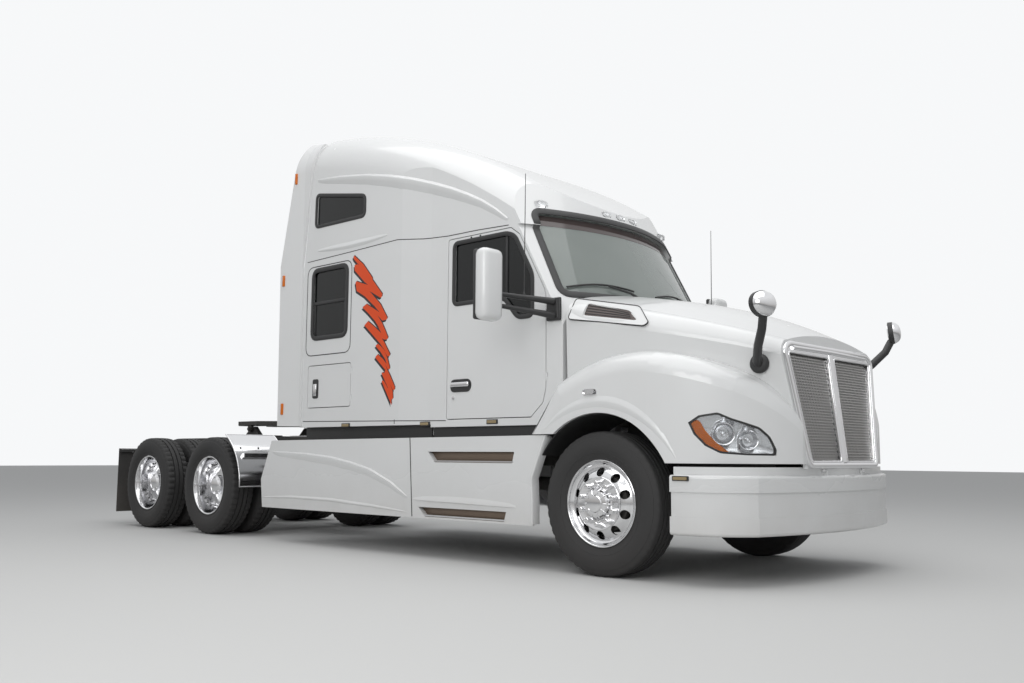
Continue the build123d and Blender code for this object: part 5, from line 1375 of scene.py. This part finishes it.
def cushionMesh(centre, half, cell, lean, roll):
    counts = [max(3, int(2 * h / cell)) for h in half]
    bm = bmesh.new()
    for axis in range(3):
        u, v = [k for k in range(3) if k != axis]
        for end in (-1, 1):
            grid = []
            for i in range(counts[u] + 1):
                row = []
                for j in range(counts[v] + 1):
                    p = [0.0, 0.0, 0.0]
                    p[axis] = end * half[axis]
                    p[u] = half[u] * (2 * i / counts[u] - 1)
                    p[v] = half[v] * (2 * j / counts[v] - 1)
                    row.append(bm.verts.new(p))
                grid.append(row)
            for i in range(counts[u]):
                for j in range(counts[v]):
                    bm.faces.new((grid[i][j], grid[i + 1][j], grid[i + 1][j + 1], grid[i][j + 1]))
    bmesh.ops.remove_doubles(bm, verts=bm.verts, dist=1e-5)
    turn = Matrix.Rotation(math.radians(-lean), 3, "X")
    for vert in bm.verts:
        # corners and edges are rolled round an inner box
        inner = Vector([max(roll - h, min(h - roll, c)) if h > roll else 0.0 for c, h in zip(vert.co, half)])
        away = vert.co - inner
        if away.length > 1e-6:
            away = away.normalized() * min(roll, away.length)
        vert.co = centre + turn @ (inner + away)
    bmesh.ops.recalc_face_normals(bm, faces=bm.faces)
    return bm


def puffUp(pieces):
    starts = {}
    for obj in pieces:
        starts[obj.name] = [v.co.copy() for v in obj.data.vertices]
        cloth = obj.modifiers.new("stuffing", "CLOTH")
        cloth.settings.use_pressure = True
        cloth.settings.uniform_pressure_force = stuffing["pressure"]
        cloth.settings.effector_weights.gravity = 0.0
        cloth.settings.quality = stuffing["quality"]
        cloth.point_cache.frame_start, cloth.point_cache.frame_end = 1, stuffing["frames"]
    for step in range(1, stuffing["frames"] + 1):
        scene.frame_set(step)
    shapes = bpy.context.evaluated_depsgraph_get()
    for obj in pieces:
        moved = [v.co.copy() for v in obj.evaluated_get(shapes).data.vertices]
        obj.modifiers.remove(obj.modifiers["stuffing"])
        for vert, start, end in zip(obj.data.vertices, starts[obj.name], moved):
            shift = end - start
            vert.co = start + shift * min(1.0, stuffing["cap"] / max(shift.length, 1e-9))
        obj.data.update()
    scene.frame_set(1)


softPieces = []
for label, (spot, half, cell, lean, roll, finish, fill, replaced) in cushions.items():
    for hand, tail in sides if spot[0] else ((0, ""),):
        name = f"{label}_{tail}" if tail else label
        bm = cushionMesh(place(hand * spot[0], *spot[1:]), Vector(half), cell, lean, roll)
        piece = addPiece(name, bm, finish, "chassis", 70, (replaced,))
        softPieces.append(piece)
puffUp(softPieces)
for piece in softPieces:
    smooth = piece.modifiers.new("softened", "SUBSURF")
    smooth.levels = smooth.render_levels = 1

seat = {
    # x, stations and heights from and to
    "plinth": (0.290, 0.710, 2.505, 2.895, 1.115, 1.400), "pan": (0.265, 0.735, 2.450, 2.940, 1.400, 1.452),
    "posts": (0.44, 0.56), "postFoot": (3.085, 2.140), "postHead": (3.098, 2.210),
    "piping": (0.40, 0.60), "pipingFront": (2.46, 1.629), "pipingBack": (2.92, 1.629),
}
bunk = {"front": (-1.035, 1.035, 4.102, 4.138, 1.137, 1.715), "board": (-1.035, 1.035, 4.102, 4.970, 1.718, 1.742)}
steer = {"centre": (0.5, 2.330, 1.850), "tilt": 40, "rim": 0.214, "grip": 0.0135, "hub": 0.060, "column": 0.030}
dash = {
    "foot": (2.190, 1.800), "head": (2.060, 1.985), "vents": (-0.80, -0.55, -0.10, 0.10, 0.86),
    "dials": ((0.40, 0.055), (0.53, 0.055), (0.64, 0.030), (0.29, 0.030), (0.71, 0.030)),
}
slope = (place(0, *dash["head"]) - place(0, *dash["foot"])).normalized()
dashOut = slope.cross(xAxis)


def addSeatBase(bm, hand):
    addBlock(bm, hand, seat["plinth"], 0.015)
    addBlock(bm, hand, seat["pan"], 0.012)
    for x in seat["posts"]:
        addTube(bm, sided(hand, (x, *seat["postFoot"]), (x, *seat["postHead"])), 0.007, 10)


def addPiping(bm, hand):
    for x in seat["piping"]:
        addTube(bm, sided(hand, (x, *seat["pipingFront"]), (x, *seat["pipingBack"])), 0.004, 8)


def addBunkFrame(bm):
    addBlock(bm, 1, bunk["front"], 0.006)
    addBlock(bm, 1, bunk["board"], 0.004)


def addSteering(bm):
    rim, grip, hub = steer["rim"], steer["grip"], steer["hub"]
    axis = Vector((0, math.cos(math.radians(steer["tilt"])), math.sin(math.radians(steer["tilt"]))))
    centre = place(*steer["centre"])
    upward = axis.cross(xAxis)
    addLathe(bm, [(grip * s, rim + grip * c) for c, s in spokes(14)], centre, axis, 64)
    addLathe(bm, [(-0.012, 0), (-0.012, hub), (0.006, hub), (0.013, hub * 0.8), (0.014, 0)], centre, axis, 40)
    for turn in (math.radians(a) for a in (0, 180, 215, 325)):
        ray = xAxis * math.cos(turn) + upward * math.sin(turn)
        for shift in (-0.010, 0.010):
            start = centre + axis.cross(ray) * shift
            addTube(bm, [start + ray * 0.05, start + ray * (rim - 0.004) - axis * 0.002], 0.009, 10)
    addTube(bm, [centre - axis * 0.010, centre - axis * 0.20], steer["column"], 20)


def dialSpots():
    middle = (place(0, *dash["foot"]) + place(0, *dash["head"])) / 2 + dashOut * 0.004
    return [(middle + xAxis * x, radius) for x, radius in dash["dials"]]


def addDialRings(bm):
    for spot, r in dialSpots():
        addLathe(bm, [(-0.006, r), (0.008, r), (0.008, r - 0.005), (-0.002, r - 0.006)], spot, dashOut, 40)


def addDialFaces(bm):
    for spot, r in dialSpots():
        addLathe(bm, [(-0.003, 0), (-0.003, r - 0.004), (0.003, r - 0.004), (0.003, 0)], spot, dashOut, 40)
        addLathe(bm, mm(3, 0, 3, 4, 6, 4, 6, 0), spot, dashOut, 16)


def addDashVents(bm):
    for x in dash["vents"]:
        for k in range(6):
            spot = place(x, *dash["foot"]) + slope * (0.07 + 0.017 * k) + dashOut * 0.002
            addTube(bm, [spot - xAxis * 0.06, spot + xAxis * 0.06], 0.0045, 8)


bothSides("seatBase", "darkPlastic", "chassis", addSeatBase)
bothSides("seatPiping", "darkPlastic", "chassis", addPiping)
onePiece("bunkFrame", "greyPlastic", "chassis", addBunkFrame)
onePiece("steeringWheel", "darkPlastic", "chassis", addSteering, 38, ("steering_wheel",))
onePiece("dialRings", "chrome", "chassis", addDialRings)
onePiece("dialFaces", "seamDark", "chassis", addDialFaces)
onePiece("dashVents", "blackPlastic", "chassis", addDashVents)
print("interior ready")

# Rear end
rear = {
    "stations": (6.460, 7.780), "axle": 0.505, "guard": 0.619, "guardEdges": (0.6465, 1.2185), "wire": 0.0065,
    "bolts": {"x": 0.430, "first": 0.62, "step": 0.115, "count": 67, "heights": (0.965, 0.805), "sparse": (3.05, 5.2)},
    "tailLamps": {"x": (-0.340, -0.230, 0.230, 0.340), "station": 8.432, "height": 0.865},
    # profiles: distance out, radius
    "bolt": mm(-2, 0, -2, 15, 2, 15, 2, 11, 10, 11, 11, 9, 11, 0),
    "clampStud": mm(-4, 0, -4, 12, 6, 12, 9, 7, 10, 0),
    "cap": mm(-20, 0, -20, 50, 22, 50, 26, 58, 46, 58, 52, 50, 53, 0),
    "tankEnd": mm(-2, 0, -2, 268, 4, 268, 10, 235, 13, 120, 14, 0),
    "can": mm(-115, 0, -115, 60, -100, 82, -12, 88, -10, 98, 10, 98, 12, 88, 85, 84, 105, 60, 108, 0),
    "hanger": mm(-2, 0, -2, 14, 4, 14, 8, 8, 8, 0),
    "lens": mm(-3, 0, -3, 46, 4, 46, 9, 38, 11, 20, 12, 0),
    "lensRim": mm(-4, 45, -4, 53.5, 4, 53.5, 7, 50, 6, 45),
}
deck = {
    "rows": 26, "columns": 16, "first": 5.475, "rowStep": 0.0265, "pitch": 0.0544, "half": 0.415, "height": 1.0315,
    # half sizes of a lozenge and its rise
    "long": 0.013, "wide": 0.004, "rise": 0.0025,
}
guardArc = arcLine(rear["stations"][0], rear["axle"], rear["guard"], 122, 180, 25)


def guardInward(k):
    return (place(0, rear["stations"][0], rear["axle"]) - place(0, *guardArc[k])).normalized()


def addGuardBeads(bm, hand):
    for x in rear["guardEdges"]:
        addTube(bm, sided(hand, *((x, *p) for p in guardArc)), rear["wire"], 12)
    for p in (guardArc[0], guardArc[-1]):
        addTube(bm, sided(hand, (0.642, *p), (1.223, *p)), rear["wire"], 12)


def addGuardClamps(bm, hand):
    for k in (6, 14):
        reach = [p + guardInward(k) * 0.012 for p in sided(hand, (0.66, *guardArc[k]), (1.16, *guardArc[k]))]
        addTube(bm, sided(hand, (0.44, 5.905, 0.82), (0.62, 5.905, 0.82)) + reach, 0.014, 12)
    for spot in sided(hand, *((x, *guardArc[8]) for x in (0.72, 0.93, 1.14))):
        addLathe(bm, rear["clampStud"], spot, -guardInward(8), 12)


def addTankCap(bm, hand):
    addLathe(bm, rear["cap"], place(hand * 0.92, 5.075, 0.905), Vector((hand * 0.42, 0, 0.91)), 40)


def addRailBolts(bm, hand):
    # every third bolt has one below it, and every other one is left out beside the tanks
    bolts = rear["bolts"]
    low, high = bolts["sparse"]
    for k in range(bolts["count"]):
        station = bolts["first"] + bolts["step"] * k
        if low < station < high and k % 2:
            continue
        for height in bolts["heights"][:1 if k % 3 else 2]:
            addLathe(bm, rear["bolt"], place(hand * bolts["x"], station, height), xAxis * hand, 6)


def addBrakeCans(bm, hand):
    for station in rear["stations"]:
        addLathe(bm, rear["can"], place(hand * 0.560, station - 0.305, 0.560), Vector((0, 1, 0.12)), 36)
        addTube(bm, sided(hand, (0.560, station - 0.205, 0.572), (0.560, station - 0.06, 0.575)), 0.016, 12)


def addFlapBars(bm, hand):
    for spot in sided(hand, *((x, 8.492, 0.865) for x in (0.70, 0.86, 1.02, 1.16))):
        addLathe(bm, rear["hanger"], spot, -yAxis, 12)
    addBlock(bm, hand, (0.63, 1.205, 8.484, 8.4918, 0.845, 0.885), 0.002)


def addTailLamps(bm, profile):
    lamps = rear["tailLamps"]
    for x in lamps["x"]:
        addLathe(bm, profile, place(x, lamps["station"], lamps["height"]), yAxis, 40)


def addDeckTread(bm):
    # raised lozenges in staggered rows, turned in alternation
    for i in range(deck["rows"]):
        for j in range(deck["columns"]):
            x = deck["pitch"] * (j + (1 + i % 2 - deck["columns"]) / 2)
            if abs(x) > deck["half"]:
                continue
            turn = math.radians(45 if (i + j) % 2 else -45)
            ray = Vector((math.cos(turn), math.sin(turn), 0))
            cross = zAxis.cross(ray) * deck["wide"]
            ray *= deck["long"]
            spot = place(x, deck["first"] + deck["rowStep"] * i, deck["height"])
            low = [spot + ray, spot + cross, spot - ray, spot - cross]
            high = [p.lerp(spot, 0.35) + zAxis * deck["rise"] for p in low]
            skin(bm, [ringOf(bm, low), ringOf(bm, high)], caps=True)


bothSides("guardBeads", "bareAluminium", "chassis", addGuardBeads)
bothSides("guardClamps", "frameBlack", "chassis", addGuardClamps)
bothSides("tankCap", "bareAluminium", "chassis", addTankCap)
bothSides("tankEnd", "bareAluminium", "chassis",
          lambda bm, hand: addLathe(bm, rear["tankEnd"], place(hand * 0.790, 5.180, 0.640), yAxis, 64))
bothSides("railBolts", "castBlack", "chassis", addRailBolts, 20)
bothSides("brakeCans", "castBlack", "chassis", addBrakeCans)
bothSides("flapBars", "bareAluminium", "chassis", addFlapBars)
onePiece("tailLenses", "redLens", "chassis", lambda bm: addTailLamps(bm, rear["lens"]))
onePiece("tailRims", "blackPlastic", "chassis", lambda bm: addTailLamps(bm, rear["lensRim"]))
onePiece("deckTread", "deckAluminium", "chassis", addDeckTread, 20)

# Back wall of the sleeper: seams, rivets and the hose plate with its couplings
backWall = {
    "seams": (mm(-720, 1160, -720, 2900), mm(720, 1160, 720, 2900), mm(-980, 2060, 980, 2060)), "seamWidth": 0.012,
    "rivetRows": (-0.966, -0.696, 0.696, 0.966), "rivets": 30, "firstRivet": 1.18, "rivetStep": 0.058,
    "rivet": mm(-1, 0, -1, 6, 2, 4, 2.6, 0),
    "plate": (-0.26, 0.26, 5.016, 5.040, 1.24, 1.40), "couplings": (-0.17, 0.0, 0.17), "face": (5.038, 1.32),
    "coupling": mm(0, 0, 0, 34, 30, 34, 34, 26, 52, 26, 56, 20, 56, 0),
}
backHit = caster(hullOf("sleeper_shell"), lambda x, height: place(x, 8.0, height), (0, -1, 0))


def addBackSeams(bm):
    for line in backWall["seams"]:
        addLine(bm, backHit, line, flatSection(backWall["seamWidth"], 0.002), 0.1)


def addRivets(bm):
    for x in backWall["rivetRows"]:
        for k in range(backWall["rivets"]):
            found = backHit(x, backWall["firstRivet"] + backWall["rivetStep"] * k)
            if found:
                addLathe(bm, backWall["rivet"], found[0], yAxis, 8)


def addHosePlate(bm):
    addBlock(bm, 1, backWall["plate"], 0.004)
    for x in backWall["couplings"]:
        addLathe(bm, backWall["coupling"], place(x, *backWall["face"]), Vector((0, 1, -0.1)), 28)


onePiece("backSeams", "seamDark", "chassis", addBackSeams)
onePiece("backRivets", "satinSilver", "chassis", addRivets)
onePiece("hosePlate", "castBlack", "chassis", addHosePlate)
print("rear end ready")
